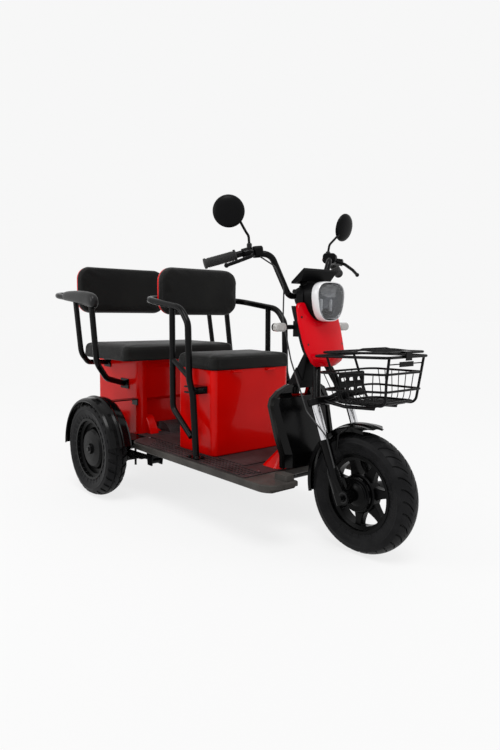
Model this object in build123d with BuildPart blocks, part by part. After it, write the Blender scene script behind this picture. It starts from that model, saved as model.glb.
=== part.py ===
"""Electric passenger tricycle: one steered front wheel, two rear wheels and two seats in line.

Millimetres.  +X is forward, +Y is the rider's left, +Z is up, and the floor is Z = 0.  X = 0 is
the middle of the whole vehicle's length, and Y = 0 is its plane of symmetry.
"""

import os
from math import cos, radians, sin

from build123d import *

os.makedirs("parts", exist_ok=True)

# ---------------------------------------------------------------- driving dimensions
wheelbase = 1160
rear_axle_x = -421
front_axle_x = rear_axle_x + wheelbase
tyre_radius = 205
tyre_width = 90
bead_radius = 127
rear_track = 780
head_angle = 21.9
fork_lead = 29
fork_half_width = 85
stem_radius = 15

floor_top = 244
floor_half_width = 295
floor_thickness = 31

tube_radius = 13
wall = 3
both_sides = (1, -1)


def ahead(distance):
    """X of a place that far ahead of the rear axle."""
    return rear_axle_x + distance


def save(piece, name):
    """Label a finished piece and write it as its own STEP file."""
    piece.part.label = name
    export_step(piece.part, f"parts/{name}.step")


def bar(points, radius, bends=(), sides=0, mode=Mode.ADD):
    """Sweep a bar along straight runs joined by arcs, into the open part or out of it."""
    with BuildLine() as route:
        if bends:
            FilletPolyline(*points, radius=list(bends))
        else:
            Line(*points)
    with BuildSketch(Plane(route.line @ 0, z_dir=route.line % 0)) as section:
        if sides:
            RegularPolygon(radius, sides)
        else:
            Circle(radius)
    sweep(section.sketch, path=route.wires()[0], mode=mode)


def mirrored(points):
    """A right-hand run of points followed by its mirror image, for a hoop across the vehicle."""
    return list(points) + [(x, -y, z) for x, y, z in reversed(points)]


def outline_from(points):
    """A closed straight-sided face in the XY plane of a sketch."""
    with BuildSketch() as section:
        with BuildLine():
            Polyline(*points, close=True)
        make_face()
    return section.sketch


def upright(x, z):
    """A plane that faces forward, with its X to the rider's left and its Y up."""
    return Plane(origin=(ahead(x), 0, z), x_dir=(0, 1, 0), z_dir=(1, 0, 0))


def side_view(y):
    """A plane seen from the rider's right, with its X forward and its Y up."""
    return Plane(origin=(0, y, 0), x_dir=(1, 0, 0), z_dir=(0, -1, 0))


# The steering frame: local Z runs up the steering axis, local X points forward across it, and
# its origin is the foot of the perpendicular from the front wheel's centre.
lean = radians(head_angle)
steering = Plane(
    origin=(front_axle_x - fork_lead * cos(lean), 0, tyre_radius - fork_lead * sin(lean)),
    x_dir=(cos(lean), 0, sin(lean)),
    z_dir=(-sin(lean), 0, cos(lean)),
)


def up_the_fork(forward, left, height):
    """A place given in the steering frame, in the vehicle's own coordinates."""
    return tuple(steering.from_local_coords(Vector(forward, left, height)))


# ---------------------------------------------------------------- wheels
def tyre_section():
    """Tyre outline in a plane whose X is the radius and Y the width."""
    half = tyre_width / 2
    tread = tyre_radius - 14
    shoulder = bead_radius + 38
    heel = bead_radius + 12
    with BuildSketch() as section:
        with BuildLine():
            Line((bead_radius, -32), (bead_radius, 32))
            Line((bead_radius, 32), (heel, 33))
            Spline((heel, 33), (shoulder, half), (tread, half - 5), tangents=((1, 0.6), (1, -0.45)))
            ThreePointArc((tread, half - 5), (tyre_radius, 0), (tread, 5 - half))
            Spline((tread, 5 - half), (shoulder, -half), (heel, -33), tangents=((-1, -0.45), (-1, 0.6)))
            Line((heel, -33), (bead_radius, -32))
        make_face()
    return section.sketch


def spun(face, centre):
    """Turn a radius-by-width face about a wheel's axle, into the open part."""
    place = Plane(origin=centre, x_dir=(1, 0, 0), z_dir=(0, 0, 1))
    revolve(place * face, axis=Axis(centre, (0, 1, 0)))


def rim_well():
    """Rolled rim: two flanges that hold the tyre's beads and the well between them."""
    seat = bead_radius
    lip = bead_radius + 6
    half = [
        (seat, 20),
        (seat, 32.5),
        (lip, 33.5),
        (lip, 37),
        (seat - 4, 37),
        (seat - 4, 22),
        (seat - 16, 16),
    ]
    inner = [(seat - 12, 14)]
    return outline_from(
        inner + half + [(radius, -width) for radius, width in reversed(half)] + [(seat - 12, -14)]
    )


front_centre = (front_axle_x, 0, tyre_radius)
axle_radius = 7

with BuildPart() as front_tyre:
    spun(tyre_section(), front_centre)
save(front_tyre, "front_tyre")

# Cast front wheel: a brake drum on the right, a hub on the left, and straight spokes that leave
# windows between them, each narrowing towards the hub.
spoke_count = 7
spoke_phase = 16.3
spoke_half = 10
drum_radius = 66
web_outer = bead_radius - 14
window_inner = drum_radius + 8
window_outer = web_outer - 6
with BuildPart() as front_rim:
    spun(rim_well(), front_centre)
    spun(outline_from([(web_outer, -13), (web_outer, 13), (drum_radius - 4, 16), (drum_radius - 4, -16)]), front_centre)
    spun(
        outline_from(
            [
                (axle_radius + 0.06, -27),
                (drum_radius - 4, -27),
                (drum_radius, -23),
                (drum_radius, 8),
                (drum_radius - 8, 16),
                (36, 18),
                (30, 32),
                (axle_radius + 0.06, 32),
            ]
        ),
        front_centre,
    )
    wheel_side = Plane(origin=front_centre, x_dir=(1, 0, 0), z_dir=(0, 1, 0))
    pitch = radians(180 / spoke_count)
    with BuildSketch(wheel_side.offset(30)) as windows:
        with PolarLocations(0, spoke_count, start_angle=spoke_phase):
            with BuildLine():
                inner_half = window_inner * sin(pitch) - spoke_half
                outer_half = window_outer * sin(pitch) - spoke_half
                FilletPolyline(
                    (window_inner, -inner_half),
                    (window_outer - 6, -outer_half),
                    (window_outer, 0),
                    (window_outer - 6, outer_half),
                    (window_inner, inner_half),
                    close=True,
                    radius=5,
                )
            make_face()
    extrude(amount=-60, mode=Mode.SUBTRACT)
save(front_rim, "front_rim")

# Pressed steel rear wheels: a dished disc with a broad domed centre, and the drive shaft that
# runs in the axle tube.
shaft_radius = 14
dome_radius = 90
for side, word in ((1, "left"), (-1, "right")):
    centre = (rear_axle_x, side * rear_track / 2, tyre_radius)
    with BuildPart() as rear_tyre:
        spun(tyre_section(), centre)
    save(rear_tyre, f"rear_tyre_{word}")

    with BuildPart() as rear_rim:
        spun(rim_well(), centre)
        disc = [
            (shaft_radius - 5, 33),
            (40, 32),
            (dome_radius - 14, 28),
            (dome_radius - 4, 20),
            (dome_radius + 2, 6),
            (web_outer, 8),
            (web_outer, 2),
            (dome_radius - 2, 1),
            (dome_radius - 9, 16),
            (dome_radius - 18, 22),
            (shaft_radius - 5, 27),
        ]
        spun(outline_from([(radius, side * width) for radius, width in disc]), centre)
        outward = Plane(origin=centre, x_dir=(1, 0, 0), z_dir=(0, side, 0))
        with BuildSketch(outward.offset(30)) as hub:
            Circle(24)
        extrude(amount=12, taper=12)
        with BuildSketch(outward.offset(30)) as shaft:
            Circle(shaft_radius)
        extrude(amount=-134)
    save(rear_rim, f"rear_rim_{word}")


# ---------------------------------------------------------------- chassis
head_low = 492
head_high = 636
head_plane = steering.offset(head_low)
rail_y = 130
rail_z = 190
tail_z = 300
neck_x = 818
spring_y = 250
spring_reach = 250
hanger_z = 176

with BuildPart() as frame:
    with BuildSketch(head_plane) as head:
        Circle(23)
    extrude(amount=head_high - head_low)
    neck_top = up_the_fork(0, 0, head_low + 50)
    bar([neck_top, (ahead(828), 0, 540), (ahead(neck_x), 0, 430), (ahead(neck_x), 0, rail_z)], 19, [60, 60])
    for side in both_sides:
        bar(
            [
                (ahead(860), side * rail_y, rail_z),
                (ahead(70), side * rail_y, rail_z),
                (ahead(0), side * rail_y, tail_z),
                (ahead(-340), side * rail_y, tail_z),
            ],
            16,
            [90, 90],
        )
        # Outriggers carry the spring hangers: folded cheeks either side of each spring eye.
        for reach, drop_from in ((spring_reach, 198), (-spring_reach, tail_z)):
            bar([(ahead(reach), side * rail_y, drop_from), (ahead(reach), side * (spring_y + 22), drop_from)], 12)
            with BuildSketch(side_view(side * spring_y)) as cheek:
                with BuildLine():
                    Polyline(
                        (ahead(reach) - 24, drop_from + 10),
                        (ahead(reach) + 24, drop_from + 10),
                        (ahead(reach) + 16, hanger_z - 18),
                        (ahead(reach) - 16, hanger_z - 18),
                        close=True,
                    )
                make_face()
            extrude(amount=27, both=True)
            with Locations((ahead(reach), side * spring_y, hanger_z - 8)):
                Box(60, 44, 44, mode=Mode.SUBTRACT)
    for distance in (360, 600, neck_x):
        bar([(ahead(distance), -rail_y, rail_z), (ahead(distance), rail_y, rail_z)], 14)
    bar([(ahead(-338), -rail_y, tail_z), (ahead(-338), rail_y, tail_z)], 14)
    with BuildSketch(head_plane.offset(-1)) as bore:
        Circle(stem_radius + 0.08)
    extrude(amount=head_high - head_low + 2, mode=Mode.SUBTRACT)
save(frame, "frame")

# Rear axle: the housing tube with its differential bulge and the brake plates at its ends.
housing_end = rear_track / 2 - 66
across = Plane(origin=(rear_axle_x, 0, tyre_radius), x_dir=(1, 0, 0), z_dir=(0, 1, 0))
with BuildPart() as rear_axle:
    with BuildSketch(across) as tube:
        Circle(28)
    extrude(amount=housing_end, both=True)
    with BuildSketch(across) as bulge:
        Circle(74)
    extrude(amount=48, both=True, taper=18)
    for side in both_sides:
        with BuildSketch(across.offset(side * (housing_end - 8))) as plate:
            Circle(70)
        extrude(amount=8 * side)
    with BuildSketch(across) as bore:
        Circle(shaft_radius + 0.08)
    extrude(amount=housing_end + 1, both=True, mode=Mode.SUBTRACT)
save(rear_axle, "rear_axle")

with BuildPart() as drive_motor:
    with BuildSketch(Plane(origin=(rear_axle_x - 78, 30, tyre_radius), z_dir=(-1, 0, 0))) as can:
        Circle(62)
    extrude(amount=120)
save(drive_motor, "drive_motor")

# Leaf springs under the axle tube, each with rolled eyes in the hangers and two U-bolts.
leaf_thickness = 7
leaf_sag = 9
with BuildPart() as rear_springs:
    for side in both_sides:
        with BuildSketch(side_view(side * spring_y)) as leaves:
            for drop, reach in ((0, spring_reach), (leaf_thickness, 170), (2 * leaf_thickness, 110)):
                low = tyre_radius - 28 - leaf_thickness - drop
                rise = leaf_sag * (reach / spring_reach) ** 2
                with BuildLine():
                    ThreePointArc((ahead(-reach), low + rise), (ahead(0), low), (ahead(reach), low + rise))
                    Line((ahead(reach), low + rise), (ahead(reach), low + rise + leaf_thickness))
                    ThreePointArc(
                        (ahead(reach), low + rise + leaf_thickness),
                        (ahead(0), low + leaf_thickness),
                        (ahead(-reach), low + rise + leaf_thickness),
                    )
                    Line((ahead(-reach), low + rise + leaf_thickness), (ahead(-reach), low + rise))
                make_face()
            with Locations((ahead(-spring_reach), hanger_z), (ahead(spring_reach), hanger_z)):
                Circle(13)
        extrude(amount=20, both=True)
        with BuildSketch(side_view(side * spring_y)) as pins:
            with Locations((ahead(-spring_reach), hanger_z), (ahead(spring_reach), hanger_z)):
                Circle(6)
        extrude(amount=22, both=True)
        for end in both_sides:
            with BuildSketch(Plane((ahead(end * 42), side * spring_y, 112))) as bolts:
                with Locations((0, -26), (0, 26)):
                    Circle(5)
            extrude(amount=tyre_radius - 112)
        with Locations((ahead(0), side * spring_y, 145)):
            Box(110, 66, 8)
    add(rear_axle.part, mode=Mode.SUBTRACT)
save(rear_springs, "rear_springs")

# Floor board: two front horns stand either side of a notch for the steered wheel, with a low
# toe block on each horn, a thinner front lip and a well rounded tail.
notch_half = 160
horn_tip = 1018
notch_back = 885
floor_tail = 85
mat_base = 3
board_top = floor_top - mat_base
with BuildPart() as floor_board:
    with BuildSketch(Plane.XY.offset(board_top)) as outline:
        with BuildLine():
            FilletPolyline(
                (ahead(floor_tail), 0),
                (ahead(floor_tail), -floor_half_width),
                (ahead(horn_tip), -floor_half_width),
                (ahead(horn_tip), -notch_half),
                (ahead(notch_back), -notch_half),
                (ahead(notch_back), 0),
                radius=[88, 62, 12, 30],
            )
            mirror(about=Plane.XZ)
        make_face()
    extrude(amount=mat_base - floor_thickness)
    fillet(floor_board.faces().sort_by(Axis.Z)[-1].edges(), 5)
    fillet(floor_board.faces().sort_by(Axis.Z)[0].edges(), 8)
    for side in both_sides:
        with BuildSketch(Plane.XY.offset(board_top - 4)) as toe_block:
            with Locations((ahead(974), side * 188)):
                RectangleRounded(62, 44, 8)
        extrude(amount=24, taper=6)
        with Locations((ahead(horn_tip - 4), side * 225, floor_top - floor_thickness + 5)):
            Box(28, 160, 14, mode=Mode.SUBTRACT)
    with Locations((ahead(neck_x), 0, floor_top)):
        Cylinder(20, 80, mode=Mode.SUBTRACT)
save(floor_board, "floor_board")

# Rubber mat: a thin base with ribs along both edges, and a smooth raised plate down the middle.
plate_half = 188
rib_height = 3
rib_pitch = 19
driver_plate = (604, 762)
passenger_plate = (106, 338)
with BuildPart() as floor_mat:
    with BuildSketch(Plane.XY.offset(board_top)) as sheet:
        with BuildLine():
            FilletPolyline(
                (ahead(floor_tail + 8), 0),
                (ahead(floor_tail + 8), 8 - floor_half_width),
                (ahead(880), 8 - floor_half_width),
                (ahead(880), 0),
                radius=[82, 12],
            )
            mirror(about=Plane.XZ)
        make_face()
    extrude(amount=mat_base)
    with BuildSketch(Plane.XY.offset(floor_top)) as ribs:
        for side in both_sides:
            for step in range(5):
                with Locations((ahead(528 + 5 * step), side * (plate_half + 16 + rib_pitch * step))):
                    Rectangle(680 - 22 * step, 9)
    extrude(amount=rib_height)
    for low, high in (driver_plate, passenger_plate):
        with BuildSketch(Plane.XY.offset(floor_top)) as plate:
            with Locations((ahead((low + high) / 2), 0)):
                RectangleRounded(high - low, 2 * plate_half, 10)
        extrude(amount=rib_height)
    with Locations((ahead(neck_x), 0, floor_top)):
        Cylinder(21, 20, mode=Mode.SUBTRACT)
    for side in both_sides:
        with Locations((ahead(555), side * 255, floor_top + rib_height)):
            Box(70, 50, 2 * rib_height, mode=Mode.SUBTRACT)
save(floor_mat, "floor_mat")


# ---------------------------------------------------------------- seats
def plan(rear, front, half, corner):
    """Rounded rectangle in plan, from rear to front ahead of the rear axle."""
    with BuildSketch(Plane((ahead((front + rear) / 2), 0, 0))) as outline:
        RectangleRounded(front - rear, 2 * half, corner)
    return outline.sketch


def block(outline, low, high, mode=Mode.ADD):
    """Raise a plan outline between two heights, into the open part."""
    extrude(outline.moved(Location((0, 0, low))), amount=high - low, mode=mode)


def hinge_knuckles(distance, height, reach):
    """Two pins with their ears on the front wall of a seat box, into the open part."""
    for side in both_sides:
        bar([(ahead(distance), side * (reach - 22), height), (ahead(distance), side * (reach + 22), height)], 4)
        for end in (-20, 20):
            with Locations((ahead(distance - 5), side * reach + end, height)):
                Box(10, 4, 8)


front_box = (345, 590, 198)
front_box_top = 579
with BuildPart() as front_seat_box:
    rear, front, half = front_box
    block(plan(rear, front, half, 24), floor_top, front_box_top)
    fillet(front_seat_box.faces().sort_by(Axis.Z)[0].edges(), 6)
    block(plan(rear + wall, front - wall, half - wall, 21), floor_top + 2 * wall, front_box_top + 1, Mode.SUBTRACT)
    hinge_knuckles(front + 8, front_box_top - 7, 90)
save(front_seat_box, "front_seat_box")

with BuildPart() as battery:
    block(plan(391, 561, 170, 12), floor_top + 2 * wall, floor_top + 190)
save(battery, "battery")

# Rear seat box: rounded corner pillars stand proud of a front panel that steps back above the
# heels, and a raised floor clears the axle and the frame tubes.
rear_box = (-395, 15, 187)
rear_box_low = 228
rear_box_top = 584
panel_half = 146
panel_back = 13
heel_back = 42
heel_top = 396
with BuildPart() as rear_seat_box:
    rear, front, half = rear_box
    block(plan(rear, front, half, 32), rear_box_low, rear_box_top)
    fillet(rear_seat_box.faces().sort_by(Axis.Z)[0].edges(), 10)
    with BuildSketch(side_view(0)) as recess:
        with BuildLine():
            Polyline(
                (ahead(front + 1), 560),
                (ahead(front - 4), 556),
                (ahead(front - panel_back), 544),
                (ahead(front - panel_back), heel_top + 10),
                (ahead(front - heel_back), heel_top - 6),
                (ahead(front - heel_back), 256),
                (ahead(front + 1), 246),
                close=True,
            )
        make_face()
    extrude(amount=panel_half, both=True, mode=Mode.SUBTRACT)
    lower = plan(rear + wall, front - heel_back - wall, half - wall, 30)
    upper = plan(rear + wall, front - panel_back - wall, half - wall, 30)
    block(lower, 328, rear_box_top + 1, Mode.SUBTRACT)
    block(upper, heel_top + 14, rear_box_top + 1, Mode.SUBTRACT)
    block(lower, rear_box_low - 1, 325, Mode.SUBTRACT)
    with BuildSketch(across) as gap:
        Circle(82)
    extrude(amount=70, both=True, mode=Mode.SUBTRACT)
    with BuildSketch(across) as tube_gap:
        Circle(36)
    extrude(amount=half + 1, both=True, mode=Mode.SUBTRACT)
    for side in both_sides:
        with Locations((ahead(10), side * rail_y, 290)):
            Box(120, 44, 64, mode=Mode.SUBTRACT)
        with Locations((ahead(-spring_reach), side * half, 270)):
            Box(40, 20, 100, mode=Mode.SUBTRACT)
    hinge_knuckles(front + 8, rear_box_top - 7, 120)
save(rear_seat_box, "rear_seat_box")


def cushion(rear, front, half, low, high):
    """An upholstered block with rounded corners, into the open part."""
    block(plan(rear, front, half, 30), low, high)


with BuildPart() as front_seat_cushion:
    cushion(336, 600, 207, 580, 638)
    fillet(front_seat_cushion.faces().sort_by(Axis.Z)[-1].edges(), 20)
save(front_seat_cushion, "front_seat_cushion")

with BuildPart() as rear_seat_cushion:
    cushion(-312, 103, 307, 585, 653)
    fillet(rear_seat_cushion.faces().sort_by(Axis.Z)[-1].edges(), 22)
save(rear_seat_cushion, "rear_seat_cushion")


def backrest(shell_name, pad_name, back, half, low, high):
    """A padded panel in front of a dished red shell, standing across the vehicle."""
    place = upright(back, (low + high) / 2)
    shell_depth = 18
    with BuildPart() as shell:
        with BuildSketch(place) as outline:
            RectangleRounded(2 * half, high - low, 62)
        extrude(amount=shell_depth)
        fillet(shell.faces().sort_by(Axis.X)[0].edges(), 12)
        with BuildSketch(place.offset(4)) as hollow:
            RectangleRounded(2 * half - 30, high - low - 30, 48)
        extrude(amount=shell_depth, mode=Mode.SUBTRACT)
    save(shell, shell_name)
    with BuildPart() as pad:
        with BuildSketch(place.offset(shell_depth)) as outline:
            RectangleRounded(2 * half - 2, high - low - 2, 61)
        extrude(amount=40)
        fillet(pad.faces().sort_by(Axis.X)[-1].edges(), 18)
    save(pad, pad_name)


front_shell_back = 188
rear_shell_back = -496
backrest("front_backrest_shell", "front_backrest_pad", front_shell_back, 201, 789, 989)
backrest("rear_backrest_shell", "rear_backrest_pad", rear_shell_back, 246, 792, 1022)

# Front hoop: up from the floor, back along both armrests and round behind the backrest.
arm_y = 255
front_hoop_back = front_shell_back - tube_radius - 3
with BuildPart() as front_seat_hoop:
    bar(
        mirrored(
            [
                (ahead(556), -arm_y, floor_top + 2),
                (ahead(534), -arm_y, 485),
                (ahead(509), -arm_y, 545),
                (ahead(501), -arm_y, 758),
                (ahead(452), -arm_y, 818),
                (ahead(front_hoop_back), -arm_y, 856),
            ]
        ),
        tube_radius,
        [90, 90, 55, 90, 72, 72, 90, 55, 90, 90],
    )
    for side in both_sides:
        with Locations((ahead(555), side * arm_y, floor_top + 2.5)):
            Box(64, 44, 5)
        with Locations((ahead(front_shell_back - 9), side * 110, 856)):
            Box(18, 46, 40)
save(front_seat_hoop, "front_seat_hoop")

with BuildPart() as front_seat_posts:
    for side in both_sides:
        bar(
            [
                (ahead(392), side * arm_y, 822),
                (ahead(396), side * arm_y, 420),
                (ahead(524), side * arm_y, 322),
            ],
            tube_radius - 1,
            [45],
        )
        bar([(ahead(404), side * arm_y, 610), (ahead(500), side * arm_y, 556)], tube_radius - 3)
        with BuildSketch(side_view(side * (front_box[2] + arm_y) / 2)) as channel:
            with Locations((ahead(512), 503)):
                Rectangle(76, 28)
                Rectangle(90, 16, mode=Mode.SUBTRACT)
        extrude(amount=(arm_y - front_box[2]) / 2, both=True)
        with Locations((ahead(512), side * (front_box[2] + 3), 503)):
            Box(76, 6, 28)
    add(front_seat_hoop.part, mode=Mode.SUBTRACT)
save(front_seat_posts, "front_seat_posts")

rear_arm_y = 375
rear_hoop_back = rear_shell_back - tube_radius - 3
with BuildPart() as rear_seat_hoop:
    bar(
        mirrored(
            [
                (ahead(-110), -195, 466),
                (ahead(-58), -310, 500),
                (ahead(-22), -rear_arm_y, 575),
                (ahead(-66), -rear_arm_y, 838),
                (ahead(rear_hoop_back), -rear_arm_y, 880),
            ]
        ),
        tube_radius,
        [60, 60, 30, 120, 120, 30, 60, 60],
    )
    for side in both_sides:
        with Locations((ahead(-112), side * 189.5, 466)):
            Box(70, 5, 46)
        with Locations((ahead(rear_shell_back - 9), side * 130, 880)):
            Box(18, 50, 44)
save(rear_seat_hoop, "rear_seat_hoop")


def rear_post_foot(side):
    """The lower end of the straight run of a rear armrest post."""
    return (ahead(-174), side * rear_arm_y, 610)


def rear_post_top(side):
    """The upper end of a rear armrest post, inside the hoop's tube."""
    return (ahead(-225), side * rear_arm_y, 853)


with BuildPart() as rear_seat_posts:
    for side in both_sides:
        bar(
            [
                (ahead(-281), side * 195, 554),
                (ahead(-200), side * 330, 566),
                rear_post_foot(side),
                rear_post_top(side),
            ],
            tube_radius - 1,
            [45, 45],
        )
        with Locations((ahead(-281), side * 189.5, 552)):
            Box(60, 5, 40)
    add(rear_seat_hoop.part, mode=Mode.SUBTRACT)
save(rear_seat_posts, "rear_seat_posts")

# Armrest pads: moulded grips that wrap the tube, thicker in front, with a drooping nose.
pad_slope = (880 - 838) / (rear_hoop_back + 66)
with BuildPart() as rear_arm_pads:
    for side in both_sides:
        with BuildSketch(side_view(side * rear_arm_y)) as profile:
            with BuildLine():
                Spline(
                    (ahead(-338), 862),
                    (ahead(-330), 893),
                    (ahead(-180), 893),
                    (ahead(-50), 879),
                    (ahead(-22), 846),
                    (ahead(-34), 812),
                    (ahead(-70), 818),
                    (ahead(-190), 834),
                    (ahead(-338), 846),
                    periodic=True,
                )
            make_face()
        extrude(amount=21, both=True)
    fillet(rear_arm_pads.edges().filter_by(lambda edge: edge.length > 300), 9)
    add(rear_seat_hoop.part, mode=Mode.SUBTRACT)
    for side in both_sides:
        bar([rear_post_foot(side), rear_post_top(side)], tube_radius - 0.9, mode=Mode.SUBTRACT)
save(rear_arm_pads, "rear_arm_pads")


# ---------------------------------------------------------------- mudguards and tail lamp
def guard_section(outside, thickness):
    """Sheet section between the outside points, given as radius by width, and an inset copy."""
    inset = []
    for index, (radius, width) in enumerate(outside):
        before = outside[max(index - 1, 0)]
        after = outside[min(index + 1, len(outside) - 1)]
        along = Vector(after[0] - before[0], after[1] - before[1]).normalized()
        inset.append((radius - thickness * along.Y, width + thickness * along.X))
    return outline_from(outside + inset[::-1])


def guard(section, centre, start, stop):
    """Turn a mudguard section about an axle, from start to stop degrees above the front."""
    place = Plane(origin=centre, x_dir=(1, 0, 0), z_dir=(0, 0, 1))
    turned = (place * section).rotate(Axis(centre, (0, 1, 0)), -start)
    revolve(turned, axis=Axis(centre, (0, -1, 0)), revolution_arc=stop - start)


# Rear mudguards: a raised crease down the crown and a rolled lip on each edge.
guard_sheet = 3
for side, word in ((1, "left"), (-1, "right")):
    outside = [
        (212, -50),
        (216, -52),
        (223, -49),
        (228, -40),
        (230, -26),
        (231, -11),
        (236, -3),
        (236, 3),
        (231, 11),
        (230, 26),
        (228, 40),
        (223, 49),
        (216, 52),
        (212, 50),
    ]
    with BuildPart() as rear_fender:
        guard(guard_section(outside, guard_sheet), (rear_axle_x, side * rear_track / 2, tyre_radius - 6), 12, 180)
        # Stay: a flat strap from the seat box to the crown.
        with BuildSketch(Plane.XY.offset(400)) as strap:
            with Locations((ahead(-20), side * 262)):
                Rectangle(46, 150)
        extrude(amount=4)
        with Locations((ahead(-20), side * 189, 390)):
            Box(46, 4, 30)
    save(rear_fender, f"rear_fender_{word}")

# Front mudguard: deep sides, a raised spine and a pointed nose.
front_guard_outside = [
    (195, -53),
    (207, -55),
    (212, -50),
    (215, -38),
    (215, -24),
    (220, -16),
    (222, 0),
    (220, 16),
    (215, 24),
    (215, 38),
    (212, 50),
    (207, 55),
    (195, 53),
]
with BuildPart() as front_fender:
    guard_centre = (front_axle_x + 2, 0, tyre_radius + 15)
    guard(guard_section(front_guard_outside, guard_sheet), guard_centre, 71.5, 193)
    for side in both_sides:
        with BuildSketch(Plane.XY.offset(330)) as nose_cut:
            with BuildLine():
                Polyline(
                    (front_axle_x + 100, side * 6),
                    (front_axle_x + 66, side * 6),
                    (front_axle_x + 52, side * 24),
                    (front_axle_x + 28, side * 60),
                    (front_axle_x + 100, side * 60),
                    close=True,
                )
            make_face()
        extrude(amount=160, mode=Mode.SUBTRACT)
    # Stays: bent rods from the sides of the guard down to the fork legs.
    for side in both_sides:
        bar(
            [
                (front_axle_x - 30, side * 53, 424),
                (front_axle_x - 62, side * 60, 400),
                (front_axle_x - 66, side * 62, 346),
            ],
            4,
            [16],
        )
save(front_fender, "front_fender")

with BuildPart() as tail_lamp:
    with BuildSketch(Plane(origin=(ahead(rear_box[0]), 0, 470), x_dir=(0, 1, 0), z_dir=(-1, 0, 0))) as outline:
        RectangleRounded(220, 60, 14)
    extrude(amount=24)
    fillet(tail_lamp.faces().sort_by(Axis.X)[0].edges(), 6)
save(tail_lamp, "tail_lamp")

# ---------------------------------------------------------------- leg shield and neck
shield_outline = [
    (80, 546),
    (122, 525),
    (146, 497),
    (154, 474),
    (151, 440),
    (146, 362),
    (136, 302),
    (130, 250),
]


def shield_face(inset, foot):
    """Front view of the leg shield, brought in by an inset, down to its foot."""
    right = [(y - inset, z - inset * 0.7) for y, z in shield_outline[:-1]]
    right.append((shield_outline[-1][0] - inset, foot))
    with BuildSketch(upright(700, 0)) as face:
        with BuildLine():
            FilletPolyline(
                *[(-y, z) for y, z in right],
                *[(y, z) for y, z in reversed(right)],
                close=True,
                radius=9,
            )
        make_face()
    return face.sketch


def shield_band(front_points, depth):
    """A curved sheet across the vehicle whose front follows the side view's points."""
    with BuildSketch(side_view(180)) as band:
        with BuildLine():
            Polyline(
                *[(ahead(x), z) for x, z in front_points],
                *[(ahead(x - depth), z) for x, z in reversed(front_points)],
                close=True,
            )
        make_face()
    return band.sketch


shield_side = [(898, 240), (904, 300), (887, 362), (866, 440), (858, 474), (856, 500), (872, 552)]
shield_across = 360
trim_depth = 14
trim_width = 14


def shield_section(x, half, height, rise):
    """Plan section of the shield: a flange each side and a crowned panel that rises between."""
    back = x - 11
    flange = x - 6
    shoulder = half - 15
    brow = half - 35
    with BuildSketch(Plane((ahead(0), 0, height))) as section:
        with BuildLine():
            Polyline((flange + rise, brow), (flange, shoulder), (flange, half), (back, half))
            Line((back, half), (back, -half))
            Polyline((back, -half), (flange, -half), (flange, -shoulder), (flange + rise, -brow))
            ThreePointArc((flange + rise, -brow), (flange + 1.3 * rise + 1, 0), (flange + rise, brow))
        make_face()
    return section.sketch


shield_levels = [
    (898, 122, 250, 18),
    (904, 129, 302, 19),
    (887, 139, 362, 19),
    (866, 150, 440, 18),
    (858, 153, 474, 17),
    (856, 145, 497, 14),
    (860, 131, 514, 2),
    (870, 90, 540, 2),
]
with BuildPart() as leg_shield:
    loft(sections=[shield_section(*level) for level in shield_levels], ruled=True)
    with Locations((ahead(850), 0, 570)):
        Box(90, 96, 140, mode=Mode.SUBTRACT)
    add(frame.part, mode=Mode.SUBTRACT)
save(leg_shield, "leg_shield")

# Edge trim: a bright band that wraps the shield's edge.
with BuildPart() as leg_shield_trim:
    extrude(shield_band([(x + 2, z) for x, z in shield_side], trim_depth), amount=shield_across)
    extrude(shield_face(0, 252), amount=260, mode=Mode.INTERSECT)
    extrude(shield_face(trim_width, 230), amount=260, mode=Mode.SUBTRACT)
    with Locations((ahead(850), 0, 570)):
        Box(90, 96, 140, mode=Mode.SUBTRACT)
    add(leg_shield.part, mode=Mode.SUBTRACT)
save(leg_shield_trim, "leg_shield_trim")

# Red liner behind the shield: a sheet against its back, and a toe box that flares out at the floor.
with BuildPart() as leg_shield_liner:
    extrude(shield_band([(x - trim_depth + 2, z) for x, z in shield_side], 9), amount=shield_across)
    extrude(shield_face(8, 252), amount=260, mode=Mode.INTERSECT)
    with BuildSketch(Plane((ahead(828), 0, floor_top))) as foot:
        RectangleRounded(108, 250, 34)
    with BuildSketch(Plane((ahead(856), 0, 308))) as brow:
        RectangleRounded(52, 188, 24)
    loft(sections=[foot.sketch, brow.sketch])
    with Locations((ahead(850), 0, 570)):
        Box(120, 84, 130, mode=Mode.SUBTRACT)
    add(frame.part, mode=Mode.SUBTRACT)
    add(leg_shield_trim.part, mode=Mode.SUBTRACT)
    add(leg_shield.part, mode=Mode.SUBTRACT)
save(leg_shield_liner, "leg_shield_liner")

# Neck cover: a wedge over the frame's neck, narrow enough for the head cover to swing round it.
with BuildPart() as column_cover:
    with BuildSketch(side_view(0)) as wedge:
        with BuildLine():
            FilletPolyline(
                (ahead(828), 538),
                (ahead(912), 672),
                (ahead(924), 668),
                (ahead(912), 600),
                (ahead(896), 538),
                close=True,
                radius=5,
            )
        make_face()
    extrude(amount=38, both=True)
    fillet(column_cover.edges().filter_by(lambda edge: edge.length > 60 and abs(edge.center().Y) > 30), 7)
    with BuildSketch(side_view(0)) as boot:
        with BuildLine():
            Polyline(
                (ahead(826), 534),
                (ahead(872), 606),
                (ahead(902), 560),
                (ahead(898), 534),
                close=True,
            )
        make_face()
    extrude(amount=41, both=True)
    add(frame.part, mode=Mode.SUBTRACT)
save(column_cover, "column_cover")

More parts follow.
